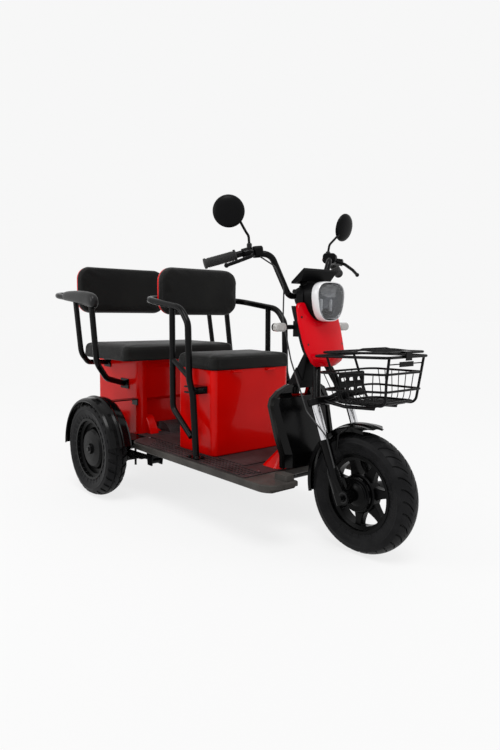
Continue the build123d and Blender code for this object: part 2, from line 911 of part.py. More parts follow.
# ---------------------------------------------------------------- bars and fork
grip_end = (728, 340, 966)
grip_start = (800, 207, 1011)
bar_radius = 11
with BuildPart() as handlebar:
    bar(
        mirrored(
            [
                (ahead(grip_end[0]), -grip_end[1], grip_end[2]),
                (ahead(grip_start[0]), -grip_start[1], grip_start[2]),
                (ahead(850), -148, 1000),
                (ahead(869), -80, 861),
            ]
        ),
        bar_radius,
        [60, 40, 30, 30, 40, 60],
    )
save(handlebar, "handlebar")

stanchion_radius = 14.5
slider_radius = 18
slider_top = 198
crown_low = 318
crown_high = 344
collar_low = 462
clamp_low = 700

with BuildPart() as fork_stanchions:
    for side in both_sides:
        with BuildSketch(steering.offset(slider_top - 24)) as leg:
            with Locations((0, side * fork_half_width)):
                Circle(stanchion_radius)
        extrude(amount=crown_low - slider_top + 24)
save(fork_stanchions, "fork_stanchions")

# Fork crown and stem: a clamp plate on the stanchions, and two arms that lean in to the stem.
with BuildPart() as steering_stem:
    with BuildSketch(steering.offset(crown_low)) as crown:
        SlotCenterToCenter(2 * fork_half_width, 48, rotation=90)
    extrude(amount=crown_high - crown_low)
    fillet(steering_stem.edges().filter_by(GeomType.LINE).filter_by(Axis.Y), 6)
    for side in both_sides:
        bar([up_the_fork(0, side * 74, crown_high - 8), up_the_fork(0, side * 22, collar_low + 10)], 14)
    with BuildSketch(steering.offset(collar_low)) as collar:
        Circle(31)
    extrude(amount=20)
    with BuildSketch(steering.offset(collar_low)) as stem:
        Circle(stem_radius)
    extrude(amount=clamp_low + 20 - collar_low)
    with BuildSketch(steering.offset(head_high + 6)) as nut:
        RegularPolygon(25, 8)
    extrude(amount=16)
    with BuildSketch(steering.offset(clamp_low)) as clamp:
        RectangleRounded(50, 66, 12)
    extrude(amount=46)
    with BuildSketch(steering.offset(clamp_low + 46)) as cap_bolts:
        with GridLocations(34, 46, 2, 2):
            Circle(5)
    extrude(amount=6)
    add(handlebar.part, mode=Mode.SUBTRACT)
save(steering_stem, "steering_stem")

# Fork sliders: a dust cap on top, a leg that widens to the axle lug, the fixed brake plate on
# the right with its arm, and the axle with its spacers and nuts.
brake_plate_y = -33
with BuildPart() as fork_sliders:
    for side in both_sides:
        place = Location((0, side * fork_half_width))
        with BuildSketch(steering.offset(20)) as leg:
            with Locations(place):
                Circle(slider_radius)
        extrude(amount=slider_top - 20)
        with BuildSketch(steering.offset(slider_top - 16)) as cap:
            with Locations(place):
                Circle(slider_radius + 3)
        extrude(amount=14)
        with BuildSketch(steering.offset(-22)) as foot:
            with Locations(Location((12, side * fork_half_width))):
                RectangleRounded(52, 30, 9)
        with BuildSketch(steering.offset(62)) as ankle:
            with Locations(place):
                RectangleRounded(36, 34, 12)
        loft(sections=[foot.sketch, ankle.sketch])
        with BuildSketch(Plane(origin=(front_axle_x, side * (fork_half_width - 15), tyre_radius), x_dir=(1, 0, 0), z_dir=(0, side, 0))) as lug:
            Circle(22)
        extrude(amount=30)
        with BuildSketch(Plane(origin=(front_axle_x, side * (fork_half_width + 15), tyre_radius), x_dir=(1, 0, 0), z_dir=(0, side, 0))) as nut:
            RegularPolygon(13, 6)
        extrude(amount=11)
        with BuildSketch(Plane(origin=(front_axle_x, side * 38, tyre_radius), x_dir=(1, 0, 0), z_dir=(0, side, 0))) as spacer:
            Circle(12)
        extrude(amount=fork_half_width - 52)
    with BuildSketch(Plane(origin=front_centre, x_dir=(1, 0, 0), z_dir=(0, 1, 0))) as axle:
        Circle(axle_radius)
    extrude(amount=fork_half_width + 34, both=True)
    outboard = Plane(origin=(front_axle_x, brake_plate_y, tyre_radius), x_dir=(1, 0, 0), z_dir=(0, -1, 0))
    with BuildSketch(outboard) as plate:
        Circle(drum_radius - 7)
    extrude(amount=7)
    with BuildSketch(outboard.offset(7)) as dome:
        Circle(34)
    extrude(amount=8, taper=30)
    with BuildSketch(outboard.offset(7)) as arm:
        with Locations(Location((-34, 12, 0), (0, 0, 118))):
            SlotOverall(78, 16)
    extrude(amount=6)
    add(fork_stanchions.part, mode=Mode.SUBTRACT)
save(fork_sliders, "fork_sliders")

with BuildPart() as grips:
    for side in both_sides:
        start = Vector(ahead(grip_end[0]), side * grip_end[1], grip_end[2])
        along = Vector(ahead(grip_start[0]), side * grip_start[1], grip_start[2]) - start
        unit = along.normalized()
        with BuildSketch(Plane(origin=start - unit * 4, z_dir=unit)) as sleeve:
            Circle(15.5)
        extrude(amount=112)
        with BuildSketch(Plane(origin=start - unit * 4, z_dir=unit)) as end_flange:
            Circle(18)
        extrude(amount=7)
        with BuildSketch(Plane(origin=start + unit * 104, z_dir=unit)) as inner_flange:
            Circle(20)
        extrude(amount=5)
        with BuildSketch(Plane(origin=start, z_dir=unit)) as bore:
            Circle(bar_radius)
        extrude(amount=130, mode=Mode.SUBTRACT)
save(grips, "grips")

# Brake levers with their perches, and a switch pod beside each.
with BuildPart() as brake_levers:
    for side in both_sides:
        bar(
            [
                (ahead(826), side * 210, 1002),
                (ahead(850), side * 238, 990),
                (ahead(846), side * 290, 971),
                (ahead(834), side * 332, 955),
            ],
            6,
            [16, 40],
        )
        with Locations((ahead(834), side * 332, 955)):
            Sphere(8)
        with BuildSketch(Plane(origin=(ahead(789), side * 226, 1002), x_dir=(1, 0, 0), z_dir=(0.48, side * -0.83, 0.28))) as perch:
            Circle(18)
            with Locations((30, 0)):
                Rectangle(36, 22)
        extrude(amount=20)
    add(handlebar.part, mode=Mode.SUBTRACT)
    add(grips.part, mode=Mode.SUBTRACT)
save(brake_levers, "brake_levers")

with BuildPart() as switch_pods:
    for side in both_sides:
        pod_plane = Plane(origin=(ahead(809), side * 196, 1009), x_dir=(1, 0, 0), z_dir=(0.45, side * -0.88, 0.1))
        with BuildSketch(pod_plane) as pod:
            with Locations((4, 0)):
                RectangleRounded(52, 40, 13)
        extrude(amount=30)
        fillet(switch_pods.faces().filter_by(lambda face: abs(face.normal_at().dot(pod_plane.z_dir)) > 0.99).edges(), 5)
    add(handlebar.part, mode=Mode.SUBTRACT)
    add(brake_levers.part, mode=Mode.SUBTRACT)
save(switch_pods, "switch_pods")

# Mirrors: a bent stem with a ferrule, and a round head with a domed back.
mirror_radius = 53
with BuildPart() as mirrors:
    for side in both_sides:
        bar(
            [
                (ahead(794), side * 200, 1030),
                (ahead(796), side * 206, 1066),
                (ahead(797), side * 281, 1128),
            ],
            4.5,
            [18],
        )
        with BuildSketch(Plane((ahead(794.5), side * 201, 1016))) as ferrule:
            RegularPolygon(9, 6)
        extrude(amount=26)
        facing = Vector(0.82, side * 0.57, 0).normalized()
        head = Plane(origin=Vector(ahead(798), side * 295, 1139) - facing * 9, x_dir=(0, 0, 1), z_dir=facing)
        with BuildPart(mode=Mode.PRIVATE) as dome:
            Cylinder(mirror_radius, 5, align=(Align.CENTER, Align.CENTER, Align.MIN))
            with BuildSketch(Plane.XY.offset(5)) as rim:
                Circle(mirror_radius)
            extrude(amount=15, taper=58)
            fillet(dome.faces().sort_by(Axis.Z)[-1].edges(), 12)
        add(head * dome.part)
    add(brake_levers.part, mode=Mode.SUBTRACT)
    add(switch_pods.part, mode=Mode.SUBTRACT)
    add(handlebar.part, mode=Mode.SUBTRACT)
save(mirrors, "mirrors")

# ---------------------------------------------------------------- headlight, hood and head cover
lamp_height = 842
lamp_back = 900
bezel_back = 932
lamp_plane = upright(bezel_back, lamp_height)
with BuildPart() as headlight_housing:
    with BuildSketch(lamp_plane) as body:
        RectangleRounded(146, 138, 54)
    extrude(amount=60)
    with BuildSketch(lamp_plane.offset(60)) as front:
        RectangleRounded(146, 138, 54)
    extrude(amount=8, taper=40)
    with BuildSketch(lamp_plane.offset(57)) as seat:
        RectangleRounded(126, 118, 46)
    extrude(amount=20, mode=Mode.SUBTRACT)
    with BuildSketch(lamp_plane.offset(57)) as bowl:
        RectangleRounded(118, 110, 42)
    extrude(amount=-42, taper=24, mode=Mode.SUBTRACT)
save(headlight_housing, "headlight_housing")

with BuildPart() as headlight_lens:
    with BuildSketch(lamp_plane.offset(57)) as glass:
        RectangleRounded(126, 118, 46)
    extrude(amount=10)
    fillet(headlight_lens.faces().sort_by(Axis.X)[-1].edges(), 4)
save(headlight_lens, "headlight_lens")

# Instrument hood: a wedge-shaped pod whose top slopes down to the rider, on a shroud that
# wraps the back of the lamp.
with BuildPart() as instrument_hood:
    with BuildSketch(side_view(90)) as pod_side:
        with BuildLine():
            FilletPolyline(
                (ahead(944), 957),
                (ahead(949), 947),
                (ahead(932), 911),
                (ahead(886), 903),
                (ahead(887), 911),
                close=True,
                radius=2.5,
            )
        make_face()
    extrude(amount=180)
    with BuildSketch(upright(860, 0)) as pod_front:
        with BuildLine():
            FilletPolyline(
                (-80, 962),
                (80, 962),
                (80, 945),
                (58, 900),
                (-86, 900),
                (-82, 945),
                close=True,
                radius=5,
            )
        make_face()
    extrude(amount=120, mode=Mode.INTERSECT)
    with BuildSketch(upright(lamp_back, lamp_height)) as shroud:
        RectangleRounded(146, 138, 54)
        with Locations((0, 50)):
            RectangleRounded(110, 46, 8)
    extrude(amount=bezel_back - lamp_back)
    with BuildSketch(side_view(34)) as shelf:
        with BuildLine():
            Polyline((ahead(878), 896), (ahead(905), 908), (ahead(905), 880), (ahead(892), 884), close=True)
        make_face()
    extrude(amount=68)
    with BuildSketch(steering.offset(head_high - 90)) as swing:
        Circle(30)
    extrude(amount=96, mode=Mode.SUBTRACT)
    add(steering_stem.part, mode=Mode.SUBTRACT)
    add(handlebar.part, mode=Mode.SUBTRACT)
save(instrument_hood, "instrument_hood")


def cover_section(x_back, x_front, half, height, bow):
    """Plan section of the head cover: flat behind, bowed in front, with rounded corners."""
    with BuildSketch(Plane((ahead(x_back), 0, height))) as section:
        depth = x_front - x_back
        with BuildLine():
            Line((0, half), (0, -half))
            Line((0, -half), (depth - bow - 8, -half))
            ThreePointArc((depth - bow - 8, -half), (depth - bow - 2, -half + 3), (depth - bow, -half + 9))
            ThreePointArc((depth - bow, -half + 9), (depth, 0), (depth - bow, half - 9))
            ThreePointArc((depth - bow, half - 9), (depth - bow - 2, half - 3), (depth - bow - 8, half))
            Line((depth - bow - 8, half), (0, half))
        make_face()
    return section.sketch


# Head cover: a red shell that widens upwards, curls under at the bottom, is open behind, and is
# scooped round the lamp.
cover_bow = 12
cover_side = 12
cover_corners = [
    (986, 54, 617),
    (990, 79, 635),
    (990, 90, 653),
    (982, 97, 674),
    (971, 101, 708),
    (960, 103, 743),
    (950, 105, 774),
    (934, 106, 826),
]
cover_levels = [
    (corner - cover_side, corner + cover_bow, half, height, cover_bow)
    for corner, half, height in cover_corners
]
with BuildPart() as front_panel:
    loft(sections=[cover_section(*level) for level in cover_levels])
    with BuildPart(mode=Mode.PRIVATE) as inside:
        hollow_levels = [
            (back - 6, front - wall, half - wall, height + (wall if index == 0 else 0), bow)
            for index, (back, front, half, height, bow) in enumerate(cover_levels)
        ]
        back, front, half, height, bow = hollow_levels[-1]
        hollow_levels[-1] = (back - 2, front - 2, half + 1, height + 6, bow)
        loft(sections=[cover_section(*level) for level in hollow_levels])
    add(inside.part, mode=Mode.SUBTRACT)
    with BuildSketch(upright(lamp_back - 40, lamp_height)) as scoop:
        RectangleRounded(158, 150, 60)
    extrude(amount=120, mode=Mode.SUBTRACT)
    with BuildSketch(upright(1004, lamp_height)) as scoop_mouth:
        RectangleRounded(206, 192, 80)
    extrude(amount=-72, taper=22, mode=Mode.SUBTRACT)
    add(steering_stem.part, mode=Mode.SUBTRACT)
    add(instrument_hood.part, mode=Mode.SUBTRACT)
save(front_panel, "front_panel")

# Black frame of the head cover: a four-sided shell that the red cover clips over from the front.
frame_depth = 30
with BuildPart() as head_cover_frame:
    outer = [
        plan(corner - frame_depth, corner - cover_side + 5, half - 2, 6).moved(Location((0, 0, height)))
        for corner, half, height in cover_corners[2:]
    ]
    inner = [
        plan(corner - frame_depth - 4, corner, half - 5, 5).moved(Location((0, 0, height)))
        for corner, half, height in cover_corners[2:]
    ]
    loft(sections=outer)
    loft(sections=inner, mode=Mode.SUBTRACT)
    add(front_panel.part, mode=Mode.SUBTRACT)
    add(instrument_hood.part, mode=Mode.SUBTRACT)
save(head_cover_frame, "head_cover_frame")

# Turn signals: clear capsules on short stalks that pass through the sides of the head cover.
signal_height = 753
with BuildPart() as signal_stalks:
    for side in both_sides:
        bar([(ahead(907), side * 97, signal_height), (ahead(908), side * 140, signal_height)], 8)
        with Locations((ahead(928), side * 89, signal_height - 6)):
            Box(34, 16, 54)
        with BuildSketch(Plane(origin=(ahead(898), side * 162, signal_height), x_dir=(0, 1, 0), z_dir=(1, 0, 0))) as back:
            SlotOverall(50, 28)
        extrude(amount=8)
    add(front_panel.part, mode=Mode.SUBTRACT)
    add(head_cover_frame.part, mode=Mode.SUBTRACT)
save(signal_stalks, "signal_stalks")

with BuildPart() as turn_signals:
    for side in both_sides:
        with BuildSketch(Plane(origin=(ahead(906), side * 162, signal_height), x_dir=(0, 1, 0), z_dir=(1, 0, 0))) as lens:
            SlotOverall(52, 30)
        extrude(amount=18)
    fillet(turn_signals.faces().sort_by(Axis.X)[-2:].edges(), 7)
    add(signal_stalks.part, mode=Mode.SUBTRACT)
save(turn_signals, "turn_signals")

# ---------------------------------------------------------------- basket
# Each level: height at the rear, rear and front distances, half widths there, and wire radius.
# The hoops rise a little towards the front.
hoop_rise = 9
basket_levels = [
    (662, 1042, 1322, 142, 105, 4.5),
    (610, 1067, 1311, 147, 97, 3.8),
    (556, 1084, 1309, 140, 92, 3.8),
    (516, 1115, 1291, 101, 77, 4),
]
fine_wire = 1.6
rod_radius = 4.3
rear_rod_half = 70


def basket_hoop(level, rear_corner=34, front_corner=20):
    """One closed hoop of the basket: wide at the rear, narrower at the front."""
    height, rear, front, rear_half, front_half, radius = level
    for side in both_sides:
        bar(
            [
                (ahead(rear), 0, height),
                (ahead(rear), side * rear_half, height),
                (ahead(front), side * front_half, height + hoop_rise),
                (ahead(front), 0, height + hoop_rise),
            ],
            radius,
            [rear_corner, front_corner],
        )


def on_side(level, share, side):
    """A place on a hoop's straight side, that share of the way forward."""
    height, rear, front, rear_half, front_half, radius = level
    return (
        ahead(rear + (front - rear) * share),
        side * (rear_half + (front_half - rear_half) * share),
        height + hoop_rise * share,
    )


with BuildPart() as basket:
    for level in basket_levels:
        basket_hoop(level)
    # Two stout rods run down the rear, under the floor and up the front corners.
    for side in both_sides:
        bar(
            [
                (ahead(1045), side * rear_rod_half, 664),
                (ahead(1110), side * rear_rod_half, 511),
                (ahead(1298), side * 79, 519),
                (ahead(1306), side * 87, 600),
            ],
            rod_radius,
            [24, 24],
        )
        bar([(ahead(1306), side * 87, 598), (ahead(1316), side * 90, 671)], rod_radius)
    # Fine wires hang from the second hoop, turn under and cross the floor.
    for share in (0.13, 0.27, 0.41, 0.55, 0.69, 0.83):
        second = [on_side(basket_levels[1], share, side) for side in both_sides]
        lowest = [on_side(basket_levels[3], share, side) for side in both_sides]
        left, right = second
        left_low, right_low = lowest
        bar(
            [left, (left_low[0], left_low[1] + 16, 513), (right_low[0], right_low[1] - 16, 513), right],
            fine_wire,
            [30, 30],
            8,
        )
    for step in (-1, 0, 1):
        bar(
            [
                (ahead(1067), step * 34, 610),
                (ahead(1109), step * 34, 514),
                (ahead(1291), step * 24, 525),
            ],
            fine_wire,
            [26],
            8,
        )
    height, rear, front, rear_half, front_half, radius = basket_levels[-1]
    for y in (-52, -17, 17, 52):
        bar([(ahead(rear), y, height), (ahead(front), y * 0.8, height + hoop_rise)], fine_wire, (), 8)
    # Latch bar across the front, with its striker plate.
    bar([(ahead(1312), -88, 649), (ahead(1312), 88, 649)], 2, (), 8)
    with Locations((ahead(1314), 1, 648)):
        Box(3, 70, 16)
save(basket, "basket")

# Lid: a hoop with wires along it, and a latch tongue that hangs over the front rim.
lid_height = 675
lid_front = 1315
with BuildPart() as basket_lid:
    basket_hoop((lid_height, 1064, lid_front, 127, 96, 4))
    for step in range(-3, 4):
        bar(
            [
                (ahead(1064), step * 32, lid_height),
                (ahead(1190), step * 29, lid_height + 13),
                (ahead(lid_front), step * 25, lid_height + hoop_rise),
            ],
            fine_wire,
            [400],
            8,
        )
    bar(
        [
            (ahead(1190), -117, lid_height + 5),
            (ahead(1190), -60, lid_height + 15),
            (ahead(1190), 60, lid_height + 15),
            (ahead(1190), 117, lid_height + 5),
        ],
        3,
        [60, 60],
    )
    with Locations((ahead(lid_front + 8), -14, lid_height + 13)):
        Box(22, 34, 3)
    with Locations((ahead(lid_front + 17.5), -14, lid_height)):
        Box(3, 30, 28)
save(basket_lid, "basket_lid")

# Basket carrier: a slotted plate behind the basket on two arms from the fork crown, and two
# struts that reach forward under its floor.
carrier_x = 1096
with BuildPart() as basket_bracket:
    with BuildSketch(upright(carrier_x, 566)) as plate:
        RectangleRounded(128, 84, 8)
        with GridLocations(42, 34, 3, 2):
            SlotOverall(28, 12, mode=Mode.SUBTRACT)
    extrude(amount=4)
    for side in both_sides:
        crown_arm = up_the_fork(18, side * 48, crown_high - 14)
        bar([crown_arm, (ahead(carrier_x + 2), side * 48, 545)], 7)
        bar([up_the_fork(18, side * 60, crown_low + 10), (ahead(1120), side * 58, 496), (ahead(1240), side * 58, 504)], 6, [30])
        bar([(ahead(1236), side * 58, 504), (ahead(1250), side * 58, 519)], 5)
    add(steering_stem.part, mode=Mode.SUBTRACT)
    add(basket.part, mode=Mode.SUBTRACT)
save(basket_bracket, "basket_bracket")

# Brake cable: from the right lever down beside the head cover to the brake plate's arm.
with BuildPart() as front_cables:
    bar(
        [
            (ahead(846), -196, 992),
            (ahead(872), -150, 960),
            (ahead(880), -114, 890),
            (ahead(878), -114, 780),
            (ahead(918), -112, 640),
            (ahead(1010), -122, 470),
            (ahead(1090), -112, 400),
            (ahead(1130), -112, 300),
        ],
        2.6,
        [30, 40, 60, 90, 60, 60],
    )
save(front_cables, "front_cables")
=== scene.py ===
import math

import bmesh
import bpy
from mathutils import Matrix, Vector
from mathutils.bvhtree import BVHTree


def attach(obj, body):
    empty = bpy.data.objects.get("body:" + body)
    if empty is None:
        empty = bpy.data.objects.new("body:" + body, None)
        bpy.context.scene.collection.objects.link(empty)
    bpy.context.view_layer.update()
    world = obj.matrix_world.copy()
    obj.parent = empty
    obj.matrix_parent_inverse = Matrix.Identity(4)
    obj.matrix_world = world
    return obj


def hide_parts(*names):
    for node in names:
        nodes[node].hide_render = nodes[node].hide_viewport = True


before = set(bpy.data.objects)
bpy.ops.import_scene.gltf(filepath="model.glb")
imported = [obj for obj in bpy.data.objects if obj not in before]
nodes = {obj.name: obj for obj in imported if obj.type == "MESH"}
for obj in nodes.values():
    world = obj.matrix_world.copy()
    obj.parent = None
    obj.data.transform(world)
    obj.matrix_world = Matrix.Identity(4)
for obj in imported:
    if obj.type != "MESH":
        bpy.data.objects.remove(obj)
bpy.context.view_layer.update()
mm = 0.001
REAR_AXLE = -421


# ---- Camera and studio
# A plain pale studio: one seamless floor, a low sun-like key, a soft box each side and an even sky.
# The camera stands in front of the right side, at the height of the lamp.
eye = Vector((2.0044, -1.5868, 0.8031))
yaw, pitch, roll = math.radians(139.46), math.radians(5.90), math.radians(0.57)
ahead = Vector((math.cos(yaw) * math.cos(pitch), math.sin(yaw) * math.cos(pitch), -math.sin(pitch)))
level = Vector((math.sin(yaw), -math.cos(yaw), 0))
rise = level.cross(ahead)
right = math.cos(roll) * level + math.sin(roll) * rise
upward = math.cos(roll) * rise - math.sin(roll) * level
camera_data = bpy.data.cameras.new("camera")
camera_data.sensor_width = 36
camera_data.lens = 29.198
camera = bpy.data.objects.new("camera", camera_data)
turn = Matrix((right, upward, -ahead)).transposed().to_4x4()
camera.matrix_world = Matrix.Translation(eye) @ turn
bpy.context.scene.collection.objects.link(camera)
bpy.context.scene.camera = camera
bpy.context.scene.view_settings.view_transform = "Standard"


def linear(code):
    """An sRGB hex colour as the linear colour that a shader takes."""
    parts = [int(code[i : i + 2], 16) / 255 for i in (1, 3, 5)]
    return tuple(c / 12.92 if c <= 0.04045 else ((c + 0.055) / 1.055) ** 2.4 for c in parts) + (1.0,)


def add(tree, kind, inputs=None, **settings):
    """Add one node, set its settings, then fill or link its inputs."""
    node = tree.nodes.new(kind)
    for name, value in settings.items():
        setattr(node, name, value)
    for name, value in (inputs or {}).items():
        if isinstance(value, bpy.types.NodeSocket):
            tree.links.new(value, node.inputs[name])
        else:
            node.inputs[name].default_value = value
    return node


def blank(name):
    """A material with an empty tree."""
    material = bpy.data.materials.new(name)
    material.use_nodes = True
    material.node_tree.nodes.clear()
    return material, material.node_tree


def seen_directly(tree):
    """1 for camera, mirror-like and see-through rays, 0 for the rays that carry diffuse light."""
    path = add(tree, "ShaderNodeLightPath").outputs
    direct = {0: path["Is Camera Ray"], 1: path["Is Glossy Ray"]}
    either = add(tree, "ShaderNodeMath", direct, operation="MAXIMUM")
    through = {0: either.outputs[0], 1: path["Is Transmission Ray"]}
    return add(tree, "ShaderNodeMath", through, operation="MAXIMUM").outputs[0]


PAPER = linear("#F7F7F7")
world = bpy.data.worlds.new("studio_sky")
world.use_nodes = True
sky = world.node_tree
sky.nodes.clear()
lit = add(sky, "ShaderNodeBackground", {"Color": linear("#FFFFFF"), "Strength": 0.42})
shown = add(sky, "ShaderNodeBackground", {"Color": PAPER, "Strength": 1.0})
choice = add(sky, "ShaderNodeMixShader", {0: seen_directly(sky), 1: lit.outputs[0], 2: shown.outputs[0]})
add(sky, "ShaderNodeOutputWorld", {"Surface": choice.outputs[0]})
bpy.context.scene.world = world

# Matt paper floor: mostly its own even white to the eye, with the shadow that falls on it.
paper, tree = blank("matt_paper")
glow = add(tree, "ShaderNodeEmission", {"Color": PAPER, "Strength": 1.05})
matt = add(tree, "ShaderNodeBsdfDiffuse", {"Color": linear("#F2F2F2")})
share = add(tree, "ShaderNodeMath", {0: seen_directly(tree), 1: 0.8}, operation="MULTIPLY")
both = add(tree, "ShaderNodeMixShader", {0: share.outputs[0], 1: matt.outputs[0], 2: glow.outputs[0]})
add(tree, "ShaderNodeOutputMaterial", {"Surface": both.outputs[0]})
reach = 60
floor_mesh = bpy.data.meshes.new("studio_floor")
floor_mesh.from_pydata(
    [(-reach, -reach, 0), (reach, -reach, 0), (reach, reach, 0), (-reach, reach, 0)], [], [(0, 1, 2, 3)]
)
floor_mesh.materials.append(paper)
studio_floor = bpy.data.objects.new("studio_floor", floor_mesh)
bpy.context.scene.collection.objects.link(studio_floor)


def lamp(name, kind, place, target, energy, mirrored, **settings):
    """A studio lamp that looks from its place to a target; shiny surfaces show it if it is mirrored."""
    data = bpy.data.lights.new(name, kind)
    data.energy = energy
    for key, value in settings.items():
        setattr(data, key, value)
    holder = bpy.data.objects.new(name, data)
    holder.location = place
    holder.visible_glossy = mirrored
    holder.rotation_euler = (Vector(target) - Vector(place)).to_track_quat("-Z", "Y").to_euler()
    bpy.context.scene.collection.objects.link(holder)


lamp("key", "SUN", (1.1, -1.0, 3.6), (0, 0, 0.4), 1.5, True, angle=math.radians(28))
lamp("front_box", "AREA", (2.6, 1.6, 1.9), (0.1, 0, 0.6), 19, False, shape="RECTANGLE", size=1.4, size_y=1.9)
lamp("side_box", "AREA", (-0.9, -2.7, 1.7), (-0.1, 0, 0.5), 22, True, shape="RECTANGLE", size=1.7, size_y=1.3)


def drifting(tree, spot, size, detail, dark, light):
    """Two close shades in patches of one size in mm: the share of the light one, and the colour."""
    cloud = add(tree, "ShaderNodeTexNoise", {"Vector": spot, "Scale": 1000 / size, "Detail": detail})
    share = add(tree, "ShaderNodeMapRange", {"Value": cloud.outputs[0], "From Min": 0.35, "From Max": 0.65})
    colours = {0: share.outputs[0], 6: linear(dark), 7: linear(light)}
    return share.outputs[0], add(tree, "ShaderNodeMix", colours, data_type="RGBA").outputs[2]


def coated(name, light, dark, roughness, grain, depth, drift=140, shine=0.5, **shader):
    """A coat or moulding: two shades that drift over it, and a skin of one grain size and depth in mm."""
    material, tree = blank(name)
    spot = add(tree, "ShaderNodeTexCoord").outputs["Object"]
    share, shade = drifting(tree, spot, drift, 5.0, dark, light)
    skin = add(tree, "ShaderNodeTexNoise", {"Vector": spot, "Scale": 1000 / grain, "Detail": 2.0})
    bump = add(tree, "ShaderNodeBump", {"Height": skin.outputs[0], "Distance": depth * mm, "Strength": 1.0})
    worn = {"Value": share, "To Min": roughness * 0.85, "To Max": roughness * 1.2}
    gloss = add(tree, "ShaderNodeMapRange", worn).outputs[0]
    look = {"Base Color": shade, "Roughness": gloss, "Specular IOR Level": shine, "Normal": bump.outputs[0]}
    face = add(tree, "ShaderNodeBsdfPrincipled", look | shader)
    add(tree, "ShaderNodeOutputMaterial", {"Surface": face.outputs[0]})
    return material


def dress(material, *names):
    """Give CAD nodes a material in every slot."""
    for name in names:
        for place in nodes[name].material_slots:
            place.material = material


powder_coat = coated("gloss_black_powder_coat", "#0A0A0B", "#060606", 0.22, 1.6, 0.02, shine=0.11)
dress(
    powder_coat,
    "frame",
    "front_seat_hoop",
    "front_seat_posts",
    "rear_seat_hoop",
    "rear_seat_posts",
    "rear_axle",
    "rear_springs",
    "handlebar",
    "steering_stem",
    "fork_sliders",
    "basket",
    "basket_lid",
    "basket_bracket",
)


# ---- Bolts and nuts
# Zinc-plated or blackened hex bolts with flat washers hold the hoops, stays and plates.
# Each group is one mesh on one body: the head and its washer stand on every place, along its own direction.
def plain(name, mesh):
    """A new object in the scene that holds a mesh."""
    piece = bpy.data.objects.new(name, mesh)
    bpy.context.scene.collection.objects.link(piece)
    return piece


def fixed(name, body, material, mesh):
    """A piece of one material, made from a finished mesh and carried by a body."""
    mesh.materials.append(material)
    piece = plain(name, mesh)
    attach(piece, body)
    return piece


def evaluated_mesh(piece):
    """The mesh of an object as its modifiers or its curve settings leave it."""
    bpy.context.view_layer.update()
    return bpy.data.meshes.new_from_object(piece.evaluated_get(bpy.context.evaluated_depsgraph_get()))


def grown(seed, tree, **sizes):
    """Run a geometry tree on a seed object with its named sizes, and keep the result as a plain mesh."""
    modifier = seed.modifiers.new("growth", "NODES")
    modifier.node_group = tree
    for socket in tree.interface.items_tree:
        if socket.item_type == "SOCKET" and socket.in_out == "INPUT" and socket.name in sizes:
            modifier[socket.identifier] = sizes[socket.name]
    mesh = evaluated_mesh(seed)
    name = seed.name
    seed.modifiers.remove(modifier)
    bpy.data.objects.remove(seed)
    return plain(name, mesh)


def geometry_tree(name, **sizes):
    """An empty geometry tree with a geometry socket each way and a named number for each size."""
    tree = bpy.data.node_groups.new(name, "GeometryNodeTree")
    tree.interface.new_socket("Geometry", in_out="INPUT", socket_type="NodeSocketGeometry")
    tree.interface.new_socket("Geometry", in_out="OUTPUT", socket_type="NodeSocketGeometry")
    for key, value in sizes.items():
        socket = tree.interface.new_socket(key, in_out="INPUT", socket_type="NodeSocketFloat")
        socket.default_value = value
    return tree, add(tree, "NodeGroupInput").outputs


def finish_tree(tree, geometry, material):
    """Realize, paint and hand out the geometry."""
    real = add(tree, "GeometryNodeRealizeInstances", {"Geometry": geometry})
    painted = add(tree, "GeometryNodeSetMaterial", {"Geometry": real.outputs[0], "Material": material})
    add(tree, "NodeGroupOutput", {"Geometry": painted.outputs[0]})
    return tree


def on_points(tree, points, instance, material):
    """Finish a tree that stands its instance on every point, turned along the point's facing."""
    facing = add(tree, "GeometryNodeInputNamedAttribute", {"Name": "facing"}, data_type="FLOAT_VECTOR")
    aim = add(tree, "FunctionNodeAlignRotationToVector", {"Vector": facing.outputs[0]}, axis="Z")
    stood = {"Points": points, "Instance": instance, "Rotation": aim.outputs[0]}
    return finish_tree(tree, add(tree, "GeometryNodeInstanceOnPoints", stood).outputs[0], material)


